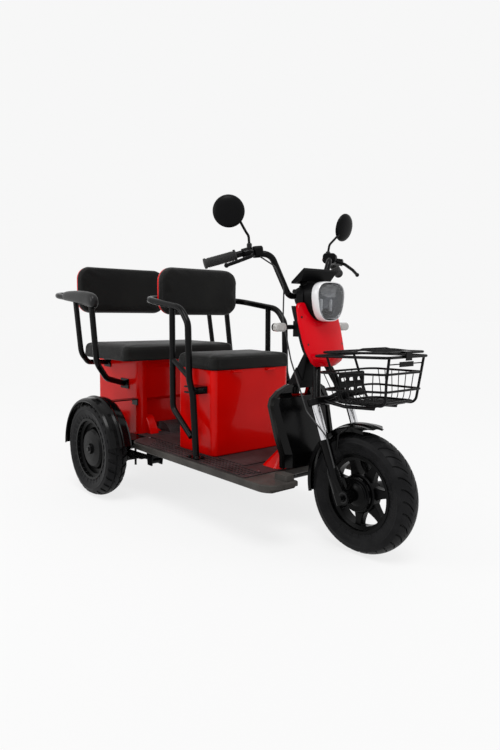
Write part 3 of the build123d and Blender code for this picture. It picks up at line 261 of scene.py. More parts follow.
def bolt_tree(name, material):
    """A hex head with a low crown on a flat washer, at every vertex, along its facing."""
    tree, sizes = geometry_tree(name, across=0.01, tall=0.005, washer=0.016)
    corner = add(tree, "ShaderNodeMath", {0: sizes["across"], 1: 0.577}, operation="MULTIPLY")
    half_tall = add(tree, "ShaderNodeMath", {0: sizes["tall"], 1: 0.5}, operation="MULTIPLY")
    half_washer = add(tree, "ShaderNodeMath", {0: sizes["washer"], 1: 0.5}, operation="MULTIPLY")
    crown_radius = add(tree, "ShaderNodeMath", {0: sizes["across"], 1: 0.43}, operation="MULTIPLY")
    crown_rise = add(tree, "ShaderNodeMath", {0: sizes["tall"], 1: 0.25}, operation="MULTIPLY")
    hexagon = {"Vertices": 6, "Radius": corner.outputs[0], "Depth": sizes["tall"]}
    head = add(tree, "GeometryNodeMeshCylinder", hexagon)
    lift = add(tree, "ShaderNodeCombineXYZ", {"Z": half_tall.outputs[0]})
    raised = {"Geometry": head.outputs[0], "Translation": lift.outputs[0]}
    low_cone = {"Vertices": 18, "Radius Top": 0.0, "Radius Bottom": crown_radius.outputs[0]}
    crown = add(tree, "GeometryNodeMeshCone", low_cone | {"Depth": crown_rise.outputs[0]})
    seat = add(tree, "ShaderNodeCombineXYZ", {"Z": sizes["tall"]})
    topped = {"Geometry": crown.outputs[0], "Translation": seat.outputs[0]}
    flat = {"Vertices": 24, "Radius": half_washer.outputs[0], "Depth": 0.0024}
    disc = add(tree, "GeometryNodeMeshCylinder", flat)
    placed = [add(tree, "GeometryNodeTransform", move) for move in (topped, raised)]
    joined = add(tree, "GeometryNodeJoinGeometry")
    for part in (disc, *placed):
        tree.links.new(part.outputs[0], joined.inputs[0])
    return on_points(tree, sizes["Geometry"], joined.outputs[0], material)


# Zinc plate looks pale and faintly patchy; blackened steel stays dark, with only a soft gleam on its edges.
zinc = coated("zinc_plated_steel", "#B9B9BB", "#8E8F92", 0.32, 0.8, 0.01, drift=20, Metallic=1.0)
black_steel = coated("blackened_steel", "#141415", "#0B0B0C", 0.4, 0.8, 0.01, drift=20, shine=0.25)
zinc_bolt = bolt_tree("zinc_bolt", zinc)
black_bolt = bolt_tree("black_bolt", black_steel)


def at(x, y, z):
    """A place given ahead of the rear axle, to the left and above the ground, all in mm."""
    return Vector(((REAR_AXLE + x) * mm, y * mm, z * mm))


def sown(name, body, slot, tree, places, **sizes):
    """Run a tree on places, each a point and the direction it faces, and keep them as one piece."""
    mesh = bpy.data.meshes.new(name)
    mesh.from_pydata([point for point, facing in places], [], [])
    facings = mesh.attributes.new("facing", "FLOAT_VECTOR", "POINT")
    for index, (point, facing) in enumerate(places):
        facings.data[index].vector = Vector(facing).normalized()
    piece = grown(plain(name, mesh), tree, **sizes)
    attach(piece, body)


def bolts(name, body, tree, slot, places, across=10, tall=5, washer=17):
    """Bolts at places: width over the flats of the head, its height and the washer, in mm."""
    sown(name, body, slot, tree, places, across=across * mm, tall=tall * mm, washer=washer * mm)


both_sides = (1, -1)
hoop_feet = [
    (at(555 + dx, side * (255 + dy), 251.5), (0, 0, 1))
    for side in both_sides
    for dy in (-13, 13)
    for dx in (-23, 23)
]
front_pad_bolts = [(at(179, side * 110, 856 + dz), (-1, 0, 0)) for side in both_sides for dz in (-14, 14)]
rear_pad_bolts = [(at(-505, side * 130, 880 + dz), (-1, 0, 0)) for side in both_sides for dz in (-15, 15)]
rear_hoop_bolts = [
    (at(x + dx, side * 192, z), (0, side, 0))
    for x, z, reach in ((-112, 466, 27), (-281, 552, 23))
    for side in both_sides
    for dx in (-reach, reach)
]
post_bolts = [(at(512 + dx, side * 204, 503), (0, side, 0)) for side in both_sides for dx in (-25, 25)]
for name, places, across, washer in (
    ("hoop_foot_bolts", hoop_feet, 10, 17),
    ("front_backrest_bolts", front_pad_bolts, 10, 14),
    ("rear_backrest_bolts", rear_pad_bolts, 10, 14),
    ("rear_hoop_bolts", rear_hoop_bolts, 10, 14),
    ("post_bracket_bolts", post_bolts, 8, 13),
):
    bolts(name, "chassis", black_bolt, "black_frame_paint", places, across=across, washer=washer)


# ---- Tyres
# 3.00-10 scooter tyres of black rubber: a road tread in front, a block tread on the driven wheels.
# The columns of each mesh lean with the grooves, so that every groove keeps a crisp edge.
def mesh_from(name, points, faces, sharp=40):
    """A smooth-shaded mesh whose edges stay crisp where its faces turn by more than the sharp angle."""
    mesh = bpy.data.meshes.new(name)
    mesh.from_pydata(points, [], faces)
    mesh.shade_smooth()
    mesh.set_sharp_from_angle(angle=math.radians(sharp))
    return mesh


def band(rows, columns, closed_rows=True):
    """Quads over a grid of rows by columns, closed round the columns."""
    faces = []
    for c in range(columns):
        d = (c + 1) % columns
        for r in range(rows if closed_rows else rows - 1):
            s = (r + 1) % rows
            faces.append((c * rows + r, c * rows + s, d * rows + s, d * rows + r))
    return faces


TYRE_RADIUS = 205
tyre_wall = [
    (127, 31),
    (131, 33.5),
    (136, 34.6),
    (140, 35),
    (141.5, 36.8),
    (144, 37),
    (146, 37),
    (152, 40.6),
    (158, 43),
    (165, 44.4),
    (170, 45),
    (171, 45.8),
    (173, 45.8),
    (174, 45),
    (180, 44.2),
    (185, 43),
    (189, 41.6),
]
crown_half, crown_drop, crown_rows = 40, 14, 40
tyre_crown = [crown_half - 2 * crown_half * k / crown_rows for k in range(crown_rows + 1)]
tyre_outline = (
    tyre_wall
    + [(TYRE_RADIUS - crown_drop * (w / crown_half) ** 2, w) for w in tyre_crown]
    + [(r, -w) for r, w in reversed(tyre_wall)]
)


def road_groove(column, width):
    """Depth of the front tread: long hooked grooves, a short shallow one between each pair."""
    place = (column + (0 if width > 0 else 8)) % 16
    if place < 2 and 4 < abs(width) < 41:
        return 4.6
    return 1.8 if place == 9 and 9 < abs(width) < 21 else 0


def block_groove(column, width):
    """Depth of the rear tread: 30 wide blocks on each shoulder, and a notched rib in the middle."""
    place = (column + (0 if width > 0 else 8)) % 16
    if 16 < abs(width) < 42:
        return 6 if place < 5 else 0
    if 11 < abs(width) <= 16:
        return 5
    return 3 if 3 < abs(width) < 10 and place < 2 else 0


# Vulcanised rubber with carbon black: almost matt, a little greyer in patches, with a fine mould skin.
rubber = coated("tyre_rubber", "#1C1C1D", "#101011", 0.44, 0.9, 0.03, drift=50, shine=0.08)


def tyre(name, body, centre, groove, pitches, lean, hook):
    """A closed ring of rubber round an axle; its grooves lean towards the crown, and hook more with hook."""
    columns, rows = pitches * 16, len(tyre_outline)
    points = []
    for column in range(columns):
        for radius, width in tyre_outline:
            slant = -lean * (max(0, 41 - abs(width)) / 41) ** hook
            angle = 2 * math.pi * column / columns + slant
            depth = groove(column, width) if abs(width) <= crown_half or radius > 188 else 0
            r = (radius - depth) * mm
            points.append(centre + Vector((r * math.cos(angle), width * mm, r * math.sin(angle))))
    return fixed(name, body, rubber, mesh_from(name, points, band(rows, columns), sharp=50))


FRONT_AXLE, REAR_TRACK = 1160, 390
sides = (("left", 1), ("right", -1))
axle_centre = at(FRONT_AXLE, 0, TYRE_RADIUS)
road_tyre = tyre("front_road_tyre", "front_wheel", axle_centre, road_groove, 32, 0.21, 1.7)
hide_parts("front_tyre")
for word, side in sides:
    hub = at(0, side * REAR_TRACK, TYRE_RADIUS)
    block_tyre = tyre(f"rear_block_tyre_{word}", f"rear_wheel_{word}", hub, block_groove, 30, 0.09, 1.0)
    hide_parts(f"rear_tyre_{word}")


# ---- Wheels
# The front wheel is cast alloy, sprayed satin black; the rear wheels are pressed steel in the same paint.
# Thin spray over a sand-cast skin looks slightly pebbled, with a soft shine that comes and goes.
cast_paint = coated("satin_black_cast_alloy", "#09090A", "#050505", 0.3, 1.2, 0.03, shine=0.08)
dress(cast_paint, "rear_rim_left", "rear_rim_right")


def outward(mesh):
    """Turn every face of a closed mesh outwards."""
    skin = bmesh.new()
    skin.from_mesh(mesh)
    bmesh.ops.recalc_face_normals(skin, faces=skin.faces)
    skin.to_mesh(mesh)
    skin.free()


def solid_piece(name, body, material, points, faces, sharp=35):
    """A closed mesh piece on a body."""
    mesh = mesh_from(name, points, faces, sharp)
    outward(mesh)
    return fixed(name, body, material, mesh)


def turned(name, body, material, centre, axis, profile, steps=64, sharp=35):
    """A turned part: a profile of radius and distance along the axis, in mm, spun round it."""
    along = Vector(axis).normalized()
    side = along.orthogonal().normalized()
    other = along.cross(side)
    points = []
    for step in range(steps):
        angle = 2 * math.pi * step / steps
        out = math.cos(angle) * side + math.sin(angle) * other
        points += [centre + along * distance * mm + out * radius * mm for radius, distance in profile]
    rows = len(profile)
    faces = band(rows, steps, closed_rows=False)
    faces.append([c * rows for c in range(steps)])
    faces.append([c * rows + rows - 1 for c in reversed(range(steps))])
    return fixed(name, body, material, mesh_from(name, points, faces, sharp))


# The front casting: a deep well, a brake drum with its hub, and seven tapered spokes between them.
RIM_WELL = [(115, 14), (127, 20), (127, 32.5), (133, 33.5), (133, 37), (123, 37), (123, 22), (111, 16)]
DRUM = [(7.5, -27), (62, -27), (66, -23), (66, 12), (62, 16), (38, 18), (36, 20), (30, 32), (7.5, 32)]
SPOKE = [(60, 24, 14), (66, 21, 14.5), (76, 17.5, 14.5), (90, 14.5, 14), (102, 13, 13.5)]
SPOKE += [(108, 14, 13), (113, 19, 12.5)]
FIRST_WINDOW, SPOKES = 16.3, 7
wheel_points, wheel_faces = [], []


def spun(profile, steps=96):
    """Add a closed profile of radius and width, turned round the front axle, to the wheel."""
    base, rows = len(wheel_points), len(profile)
    for step in range(steps):
        angle = 2 * math.pi * step / steps
        wheel_points.extend((r * math.cos(angle), w, -r * math.sin(angle)) for r, w in profile)
    wheel_faces.extend(tuple(base + i for i in face) for face in band(rows, steps))


spun(RIM_WELL + [(r, -w) for r, w in reversed(RIM_WELL)])
spun(DRUM)
for number in range(SPOKES):
    middle = math.radians(FIRST_WINDOW + (number + 0.5) * 360 / SPOKES)
    c, s, base = math.cos(middle), math.sin(middle), len(wheel_points)
    for radius, half, deep in SPOKE:
        section = [(-half, -deep + 3), (-half + 3, -deep), (half - 3, -deep), (half, -deep + 3)]
        for side, width in section + [(-a, -b) for a, b in section]:
            wheel_points.append((radius * c - side * s, width, -radius * s - side * c))
    corners = 2 * len(section)
    for k in range(len(SPOKE) - 1):
        near, far = base + k * corners, base + (k + 1) * corners
        for n in range(corners):
            m = (n + 1) % corners
            wheel_faces.append((near + n, near + m, far + m, far + n))
    wheel_faces.append(tuple(base + n for n in range(corners)))
    wheel_faces.append(tuple(far + n for n in reversed(range(corners))))
wheel_points = [axle_centre + Vector(point) * mm for point in wheel_points]
cast_wheel = solid_piece(
    "cast_front_wheel", "front_wheel", cast_paint, wheel_points, wheel_faces, sharp=30
)
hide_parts("front_rim")

# Rings turned into the fixed brake plate, and the stepped cover round the axle.
ring_profile = [(57.5, -3), (57.5, 1.5), (55, 3), (52, 1.5), (46, 1.5), (44, 3.5), (40, 3.5), (38, 6)]
ring_profile += [(31, 9), (24, 13), (20, 13)]
plate = at(FRONT_AXLE, -40, TYRE_RADIUS)
turned("brake_plate_rings", "steering", cast_paint, plate, (0, -1, 0), ring_profile)
washer_profile = [(8, -2), (18, -2), (18, 1), (16, 1.6), (8, 1.6)]
for word, side in sides:
    name, end = f"axle_washer_{word}", at(FRONT_AXLE, side * 101, TYRE_RADIUS)
    turned(name, "steering", black_steel, end, (0, side, 0), washer_profile)
for word, side in sides:
    turned(
        f"rear_axle_nut_{word}",
        f"rear_wheel_{word}",
        black_steel,
        at(0, side * (REAR_TRACK + 41), TYRE_RADIUS),
        (0, side, 0),
        [(17, -2), (17, 1), (10.5, 1.4), (10.5, 5), (9, 6.4), (0.5, 6.6)],
        steps=6,
        sharp=20,
    )


# ---- Floor board and mat
# The board is a thick moulding of black polypropylene; its spark-etched skin turns the shine to a grey haze.
# The mat is brown-black rubber screwed down on it, ribbed along both edges, with a grain from the calender.
etched_plastic = coated("etched_black_polypropylene", "#4A4744", "#302D2B", 0.46, 1.1, 0.04, shine=0.14)
dress(etched_plastic, "floor_board")


def mat_rubber(name, light, dark):
    """Calendered rubber: streaks a few mm wide run along the vehicle, over a matt skin of fine specks."""
    material, tree = blank(name)
    spot = add(tree, "ShaderNodeTexCoord").outputs["Object"]
    along = add(tree, "ShaderNodeMapping", {"Vector": spot, "Scale": (0.12, 1.0, 1.0)})
    streak = add(tree, "ShaderNodeTexNoise", {"Vector": along.outputs[0], "Scale": 1000 / 6, "Detail": 3.0})
    patch = add(tree, "ShaderNodeTexNoise", {"Vector": spot, "Scale": 1000 / 160, "Detail": 3.0})
    blend = add(tree, "ShaderNodeMath", {0: streak.outputs[0], 1: patch.outputs[0]}, operation="ADD")
    share = add(tree, "ShaderNodeMapRange", {"Value": blend.outputs[0], "From Min": 0.75, "From Max": 1.25})
    colours = {0: share.outputs[0], 6: linear(dark), 7: linear(light)}
    shade = add(tree, "ShaderNodeMix", colours, data_type="RGBA")
    speck = add(tree, "ShaderNodeTexNoise", {"Vector": spot, "Scale": 1000 / 1.6, "Detail": 2.0})
    skin = add(tree, "ShaderNodeMath", {0: speck.outputs[0], 1: streak.outputs[0]}, operation="ADD")
    bump = add(tree, "ShaderNodeBump", {"Height": skin.outputs[0], "Distance": 0.12 * mm, "Strength": 1.0})
    look = {"Roughness": 0.46, "Specular IOR Level": 0.09, "Normal": bump.outputs[0]}
    face = add(tree, "ShaderNodeBsdfPrincipled", look | {"Base Color": shade.outputs[2]})
    add(tree, "ShaderNodeOutputMaterial", {"Surface": face.outputs[0]})
    return material


dress(mat_rubber("calendered_brown_rubber", "#43393A", "#231C1C"), "floor_mat")
screws = [(at(x, side * 196, 244.2), (0, 0, 1)) for side in both_sides for x in (118, 330, 612, 850)]
bolts("mat_screws", "chassis", zinc_bolt, "chrome_steel", screws, across=7, tall=2.4, washer=11)


# ---- Rear mat flap
# A loose flap of the same rubber closes the gap from the floor to the rear box, with a hump over the axle.
# It lies on the axle housing and tucks in between the corner pillars of the box.
def prism(outline, low, high, place):
    """A closed prism: an outline in mm, swept from low to high; place takes its two numbers and a depth."""
    count = len(outline)
    points = [place(a, b, depth) for depth in (low, high) for a, b in outline]
    faces = [(k, (k + 1) % count, count + (k + 1) % count, count + k) for k in range(count)]
    return points, faces + [tuple(range(count)), tuple(range(2 * count - 1, count - 1, -1))]


def rounded_edges(piece, radius):
    """Round the sharp edges of a moulding, radius in mm."""
    edge = piece.modifiers.new("rounded_edges", "BEVEL")
    edge.width = radius * mm
    edge.segments = 3
    edge.limit_method = "ANGLE"


rear_gap, box_face, pillar_face = 92, -26, 17
half_flap = [(rear_gap, 196), (pillar_face, 196), (pillar_face, 149), (box_face, 149)]
flap_outline = half_flap + [(x, -y) for x, y in reversed(half_flap)]
points, faces = prism(flap_outline, 240.4, 244.6, lambda a, b, depth: at(a, b, depth))
brown_rubber = nodes["floor_mat"].material_slots[0].material
flap = solid_piece("rear_mat_flap", "chassis", brown_rubber, points, faces)
rounded_edges(flap, 1)
hump = [(box_face, 242)]
hump += [(82 * math.sin(math.radians(t)), 205 + 82 * math.cos(math.radians(t))) for t in range(-18, 64, 9)]
hump.append((76, 242))
points, faces = prism(hump, -58, 58, lambda a, b, depth: at(a, depth, b))
rounded_edges(solid_piece("rear_mat_hump", "chassis", brown_rubber, points, faces), 5)


# A folded steel plate under the flap keeps spray off the box, from one spring to the other.
axle_plate = [(-60, 235), (86, 235), (86, 203), (89, 203), (89, 238), (-60, 238)]
points, faces = prism(axle_plate, -262, 262, lambda a, b, depth: at(a, depth, b))
solid_piece("axle_splash_plate", "chassis", powder_coat, points, faces)


# ---- Seat boxes, liner and head cover
# Red ABS, injection moulded and clear coated: a hard wet shine over one even red.
# The shine shows a broad, barely visible waviness left by the mould.
def gloss_abs(name, light, dark):
    """Clear-coated ABS: two close reds, and waves 60 mm long under a thin bright coat."""
    material, tree = blank(name)
    spot = add(tree, "ShaderNodeTexCoord").outputs["Object"]
    share, shade = drifting(tree, spot, 300, 2.0, dark, light)
    wave = add(tree, "ShaderNodeTexNoise", {"Vector": spot, "Scale": 1000 / 60, "Detail": 1.0})
    bump = add(tree, "ShaderNodeBump", {"Height": wave.outputs[0], "Distance": 0.35 * mm, "Strength": 1.0})
    face = add(
        tree,
        "ShaderNodeBsdfPrincipled",
        {
            "Base Color": shade,
            "Roughness": 0.22,
            "Specular IOR Level": 0.06,
            "Coat Weight": 0.14,
            "Coat Roughness": 0.04,
            "Coat IOR": 1.5,
            "Normal": bump.outputs[0],
            "Coat Normal": bump.outputs[0],
        },
    )
    add(tree, "ShaderNodeOutputMaterial", {"Surface": face.outputs[0]})
    return material


red_abs = gloss_abs("clear_coated_red_abs", "#DC0703", "#CC0401")
dress(red_abs, "front_seat_box", "rear_seat_box", "leg_shield_liner")
dress(red_abs, "front_backrest_shell", "rear_backrest_shell")

# The head cover is a cooler red than the boxes, from another batch of the same ABS.
crimson_abs = gloss_abs("clear_coated_crimson_abs", "#DC0014", "#CC0010")

# It is one shell: plan sections from the curled bottom up to the rounded shoulders by the lamp.
COVER_LEVELS = [
    (984, 50, 617),
    (989, 76, 633),
    (990, 90, 653),
    (982, 97, 674),
    (971, 101, 708),
    (960, 103, 743),
    (950, 103, 774),
    (938, 102, 812),
    (935, 99, 824),
    (933, 91, 833),
    (932, 78, 838),
]
COVER_BOW, COVER_SIDE, COVER_CORNER = 12, 12, 9


def cover_line(corner, half):
    """Plan of the cover at one level: a straight side, a rounded corner and a bowed front, left to right."""
    side = [(corner - COVER_SIDE, half)]
    for step in range(5):
        angle = math.pi / 2 * step / 4
        forward, inward = 1 - math.sin(angle), 1 - math.cos(angle)
        side.append((corner - COVER_CORNER * forward, half - COVER_CORNER * inward))
    flat = half - COVER_CORNER
    front = [(corner + COVER_BOW * (1 - (k / 8) ** 2), flat * k / 8) for k in range(7, -8, -1)]
    return side + front + [(x, -y) for x, y in reversed(side)]


cover_lines = [[at(x, y, z) for x, y in cover_line(corner, half)] for corner, half, z in COVER_LEVELS]
span = len(cover_lines[0])
cover_faces = [
    (k * span + n, k * span + n + 1, (k + 1) * span + n + 1, (k + 1) * span + n)
    for k in range(len(cover_lines) - 1)
    for n in range(span - 1)
]
cover_faces.append(tuple(reversed(range(span))))
cover_points = [point for line in cover_lines for point in line]
head_cover = solid_piece(
    "head_cover", "steering", crimson_abs, cover_points, cover_faces, sharp=50
)
shell_wall = head_cover.modifiers.new("shell_wall", "SOLIDIFY")
shell_wall.thickness = 3 * mm
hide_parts("front_panel")

# Behind the cushion a fixed strip with rounded edges closes the top of the rear box.
strip = [(-392, 571), (-318, 571), (-318, 577), (-321, 580), (-388, 580), (-392, 577)]
points, faces = prism(strip, -184, 184, lambda a, b, depth: at(a, depth, b))
rounded_edges(solid_piece("rear_box_strip", "chassis", red_abs, points, faces), 2)

# Small red fairings hide the frame rails where they rise through the foot of the rear box.
for word, side in sides:
    fairing = [(-29, 242), (58, 242), (55, 250), (15, 316), (4, 323), (-29, 326)]
    points, faces = prism(fairing, side * 130 - 22, side * 130 + 22, lambda a, b, depth: at(a, depth, b))
    cover = solid_piece(f"rail_fairing_{word}", "chassis", red_abs, points, faces)
    rounded_edges(cover, 9)
corners = ((947, 91, 788), (976, 86, 694))
screws = [(at(x, side * y, z), (1, 0, 0.25)) for side in both_sides for x, y, z in corners]
bolts("head_cover_screws", "steering", black_bolt, "black_plastic", screws, across=4, tall=1.2, washer=7)


# ---- Black plastic covers
# Leg shield, column cover, hood, head cover frame, mudguards, stalks and switches are black polypropylene.
# It has a fine leather-like etch and a low sheen; the leg shield and mudguards leave a polished mould.
satin_plastic = coated("satin_black_polypropylene", "#0D0D0E", "#080809", 0.36, 1.3, 0.03, shine=0.07)
dress(
    satin_plastic,
    "column_cover",
    "instrument_hood",
    "head_cover_frame",
    "signal_stalks",
    "switch_pods",
    "brake_levers",
)
polished_plastic = coated("polished_black_polypropylene", "#060607", "#040404", 0.18, 6, 0.03, shine=0.15)
dress(polished_plastic, "front_fender", "rear_fender_left", "rear_fender_right", "leg_shield")


# ---- Leg shield trim
# A snap-on edging of extruded dark grey PVC, pushed over the raw edge of the leg shield all round.
# It has an even wet shine; a painted reflection makes it paler at the top and darker towards the floor.
def edging_with_painted_reflection(name, bright, dull):
    """PVC edging with a painted reflection: its colour is paler at the top and darkens downwards."""
    material, tree = blank(name)
    spot = add(tree, "ShaderNodeTexCoord").outputs["Object"]
    # Painted reflection: the colour fades from pale at the top to dark towards the floor, along a wavy line.
    height = add(tree, "ShaderNodeSeparateXYZ", {"Vector": spot}).outputs["Z"]
    cloud = add(tree, "ShaderNodeTexNoise", {"Vector": spot, "Scale": 1000 / 30, "Detail": 4.0})
    drift = add(tree, "ShaderNodeMath", {0: cloud.outputs[0], 1: 0.08}, operation="MULTIPLY")
    painted_fade = add(tree, "ShaderNodeMath", {0: height, 1: drift.outputs[0]}, operation="ADD")
    share = add(tree, "ShaderNodeMapRange", {"Value": painted_fade.outputs[0], "From Min": 0.30, "From Max": 0.56})
    colours = {0: share.outputs[0], 6: linear(dull), 7: linear(bright)}
    shade = add(tree, "ShaderNodeMix", colours, data_type="RGBA")
    skin = add(tree, "ShaderNodeTexNoise", {"Vector": spot, "Scale": 1000 / 1.5, "Detail": 2.0})
    bump = add(tree, "ShaderNodeBump", {"Height": skin.outputs[0], "Distance": 0.03 * mm, "Strength": 1.0})
    look = {"Roughness": 0.22, "Specular IOR Level": 0.16, "Normal": bump.outputs[0]}
    face = add(tree, "ShaderNodeBsdfPrincipled", look | {"Base Color": shade.outputs[2]})
    add(tree, "ShaderNodeOutputMaterial", {"Surface": face.outputs[0]})
    return material


dress(edging_with_painted_reflection("grey_pvc_edging", "#1E1E1D", "#0C0B0B"), "leg_shield_trim")


# ---- Chrome
# Fork stanchions of steel tube, ground, hard chromed and polished, clamped in the crown above the sliders.
# Chrome looks like a bright, almost neutral mirror, very slightly blurred by the polish.
chrome = coated("hard_chromed_steel", "#E6E6E8", "#C9C9CC", 0.12, 0.8, 0.004, drift=60, Metallic=1.0)
dress(chrome, "fork_stanchions")


# ---- Cushions and backrest pads
# Moulded foam under black vinyl, stretched over a board and stapled beneath, with a sewn seam round it.
# The foam lifts the vinyl into a low crown, and the seam holds it down all round.
def vinyl_cloth(name, light, dark):
    """Embossed vinyl: leather cells 1.8 mm across, drawn a little coarse to show, with a waxy sheen."""
    material, tree = blank(name)
    spot = add(tree, "ShaderNodeTexCoord").outputs["Object"]
    cell_size = {"Vector": spot, "Scale": 1000 / 1.8}
    cells = add(tree, "ShaderNodeTexVoronoi", cell_size, feature="DISTANCE_TO_EDGE")
    crease = add(tree, "ShaderNodeTexNoise", {"Vector": spot, "Scale": 1000 / 35, "Detail": 4.0})
    share, shade = drifting(tree, spot, 180, 4.0, dark, light)
    deep = add(tree, "ShaderNodeMath", {0: cells.outputs[0], 1: 0.1}, operation="MINIMUM")
    grain = add(tree, "ShaderNodeBump", {"Height": deep.outputs[0], "Distance": 0.5 * mm, "Strength": 0.8})
    folds = {"Height": crease.outputs[0], "Distance": 0.8 * mm, "Strength": 1.0}
    fold = add(tree, "ShaderNodeBump", folds | {"Normal": grain.outputs[0]})
    rough = add(tree, "ShaderNodeMapRange", {"Value": crease.outputs[0], "To Min": 0.42, "To Max": 0.56})
    face = add(
        tree,
        "ShaderNodeBsdfPrincipled",
        {
            "Base Color": shade,
            "Roughness": rough.outputs[0],
            "Specular IOR Level": 0.08,
            "Sheen Weight": 0.14,
            "Sheen Roughness": 0.4,
            "Normal": fold.outputs[0],
        },
    )
    add(tree, "ShaderNodeOutputMaterial", {"Surface": face.outputs[0]})
    return material


vinyl = vinyl_cloth("embossed_black_vinyl", "#191918", "#121212")


def ring(half_x, half_y, corner, inset, steps=9):
    """Points of a rounded rectangle, brought in by an inset, in mm, with steps to each corner."""
    radius = max(corner - inset, 4)
    wide, deep = half_x - inset - radius, half_y - inset - radius
    points = []
    for index, (sx, sy) in enumerate(((1, 1), (-1, 1), (-1, -1), (1, -1))):
        for step in range(steps + 1):
            angle = math.pi / 2 * (index + step / steps)
            points.append((sx * wide + radius * math.cos(angle), sy * deep + radius * math.sin(angle)))
    return points


def stacked(levels, place, shape):
    """A closed skin through rounded rectangles: levels of inset and height, in mm, set by a placement."""
    half_x, half_y, corner = shape
    columns = [ring(half_x, half_y, corner, inset) for inset, height in levels]
    count = len(columns[0])
    points = []
    for c in range(count):
        for (inset, height), outline in zip(levels, columns):
            points.append(place @ Vector((outline[c][0] * mm, outline[c][1] * mm, height * mm)))
    rows = len(levels)
    faces = band(rows, count, closed_rows=False)
    faces.append([c * rows for c in range(count)])
    faces.append([c * rows + rows - 1 for c in reversed(range(count))])
    return points, faces


FRAMES = 20


def swollen(piece, place, board, limit):
    """Remesh a pad at 6 mm and let pressure lift its vinyl; what lies below the board's top is held."""
    remesh = piece.modifiers.new("even_cells", "REMESH")
    remesh.mode = "VOXEL"
    remesh.voxel_size = 6 * mm
    even = evaluated_mesh(piece)
    piece.modifiers.clear()
    piece.data = even
    back = place.inverted()
    start = [v.co.copy() for v in even.vertices]
    held = piece.vertex_groups.new(name="board")
    held.add([i for i, co in enumerate(start) if (back @ co).z < board * mm], 1.0, "REPLACE")
    cloth = piece.modifiers.new("stuffing", "CLOTH")
    cloth.settings.use_pressure = True
    cloth.settings.uniform_pressure_force = 4
    cloth.settings.effector_weights.gravity = 0
    cloth.settings.vertex_group_mass = "board"
    cloth.collision_settings.use_collision = False
    cloth.point_cache.frame_start = 1
    cloth.point_cache.frame_end = FRAMES
    for number in range(1, FRAMES + 1):
        bpy.context.scene.frame_set(number)
    evaluated = piece.evaluated_get(bpy.context.evaluated_depsgraph_get())
    moved = [v.co.copy() for v in evaluated.data.vertices]
    for vertex, before, after in zip(even.vertices, start, moved):
        shift = after - before
        vertex.co = before + shift * (limit * mm / (limit * mm + shift.length))
    piece.modifiers.clear()
    piece.vertex_groups.clear()
    bpy.context.scene.frame_set(1)


def upholstered(name, node, body, place, shape, thick, round_over, seam, limit):
    """A stuffed pad: shape is half length, half width and corner, seam the height of its seam, in mm."""
    lean, board_top = 3, 8
    levels = [(lean + 8, 0), (lean, 3)]
    levels += [(lean, thick * share) for share in (0.2, 0.45)]
    low = thick - lean - round_over
    for step in range(8):
        angle = math.pi / 2 * step / 7
        levels.append((lean + round_over * (1 - math.cos(angle)), low + round_over * math.sin(angle)))
    levels += [(lean + round_over + extra, thick - lean) for extra in (12, 40, 80)]
    points, faces = stacked(levels, place, shape)
    mesh = mesh_from(name, points, faces)
    outward(mesh)
    piece = plain(name, mesh)
    swollen(piece, place, board_top, limit)
    back = place.inverted()
    half_x, half_y, corner = shape
    for vertex in piece.data.vertices:
        local = back @ vertex.co
        gap = abs(local.z / mm - seam)
        inside = min(half_x - abs(local.x / mm), half_y - abs(local.y / mm))
        if inside < 30 and gap < 9:
            inward = Vector((-local.x, -local.y, 0)).normalized()
            pull = 1.1 * math.exp(-((gap / 3.2) ** 2))
            vertex.co = place @ (local + inward * pull * mm)
    piece.data.materials.clear()
    piece.data.materials.append(vinyl)
    piece.data.shade_smooth()
    smooth = piece.modifiers.new("even_skin", "SUBSURF")
    smooth.levels = smooth.render_levels = 1
    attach(piece, body)
    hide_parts(node)
    return piece


def standing(x, z, y=0):
    """A placement whose depth runs forward, its width to the left and its height up."""
    return Matrix.Translation(at(x, y, z)) @ Matrix(((0, 0, 1), (1, 0, 0), (0, 1, 0))).to_4x4()


def lying(x, z):
    """A placement whose depth runs up from a height."""
    return Matrix.Translation(at(x, 0, z))


FRONT_SEAT, REAR_SEAT = lying(468, 580), lying(-104.5, 585)
FRONT_BACK, REAR_BACK = standing(203, 889), standing(-481, 907)
seams = []
for name, node, body, place, shape, *sizes in (
    ("front_cushion", "front_seat_cushion", "front_seat", FRONT_SEAT, (132, 207, 30), 58, 18, 42, 6),
    ("rear_cushion", "rear_seat_cushion", "rear_seat", REAR_SEAT, (207.5, 307, 30), 68, 20, 50, 7),
    ("front_back_pad", "front_backrest_pad", "chassis", FRONT_BACK, (206, 104.5, 64), 43, 18, 27, 5),
    ("rear_back_pad", "rear_backrest_pad", "chassis", REAR_BACK, (251, 119.5, 64), 43, 18, 27, 5),
):
    pad = upholstered(name, node, body, place, shape, *sizes)
    seams.append((pad, body, place, shape))



# ---- Seat boards and seam stitching
# Under each cushion a board of moulded black plastic carries the foam, with a rolled edge.
# Lock-stitches of black thread, just under 4 mm long, run beside every seam.
for name, body, place, shape in (
    ("front_seat_board", "front_seat", FRONT_SEAT, (126, 201, 26)),
    ("rear_seat_board", "rear_seat", REAR_SEAT, (201, 301, 26)),
):
    points, faces = stacked([(6, 0.4), (1, 0.8), (0, 3), (0, 7), (2, 9), (9, 9)], place, shape)
    solid_piece(name, body, satin_plastic, points, faces, sharp=40)


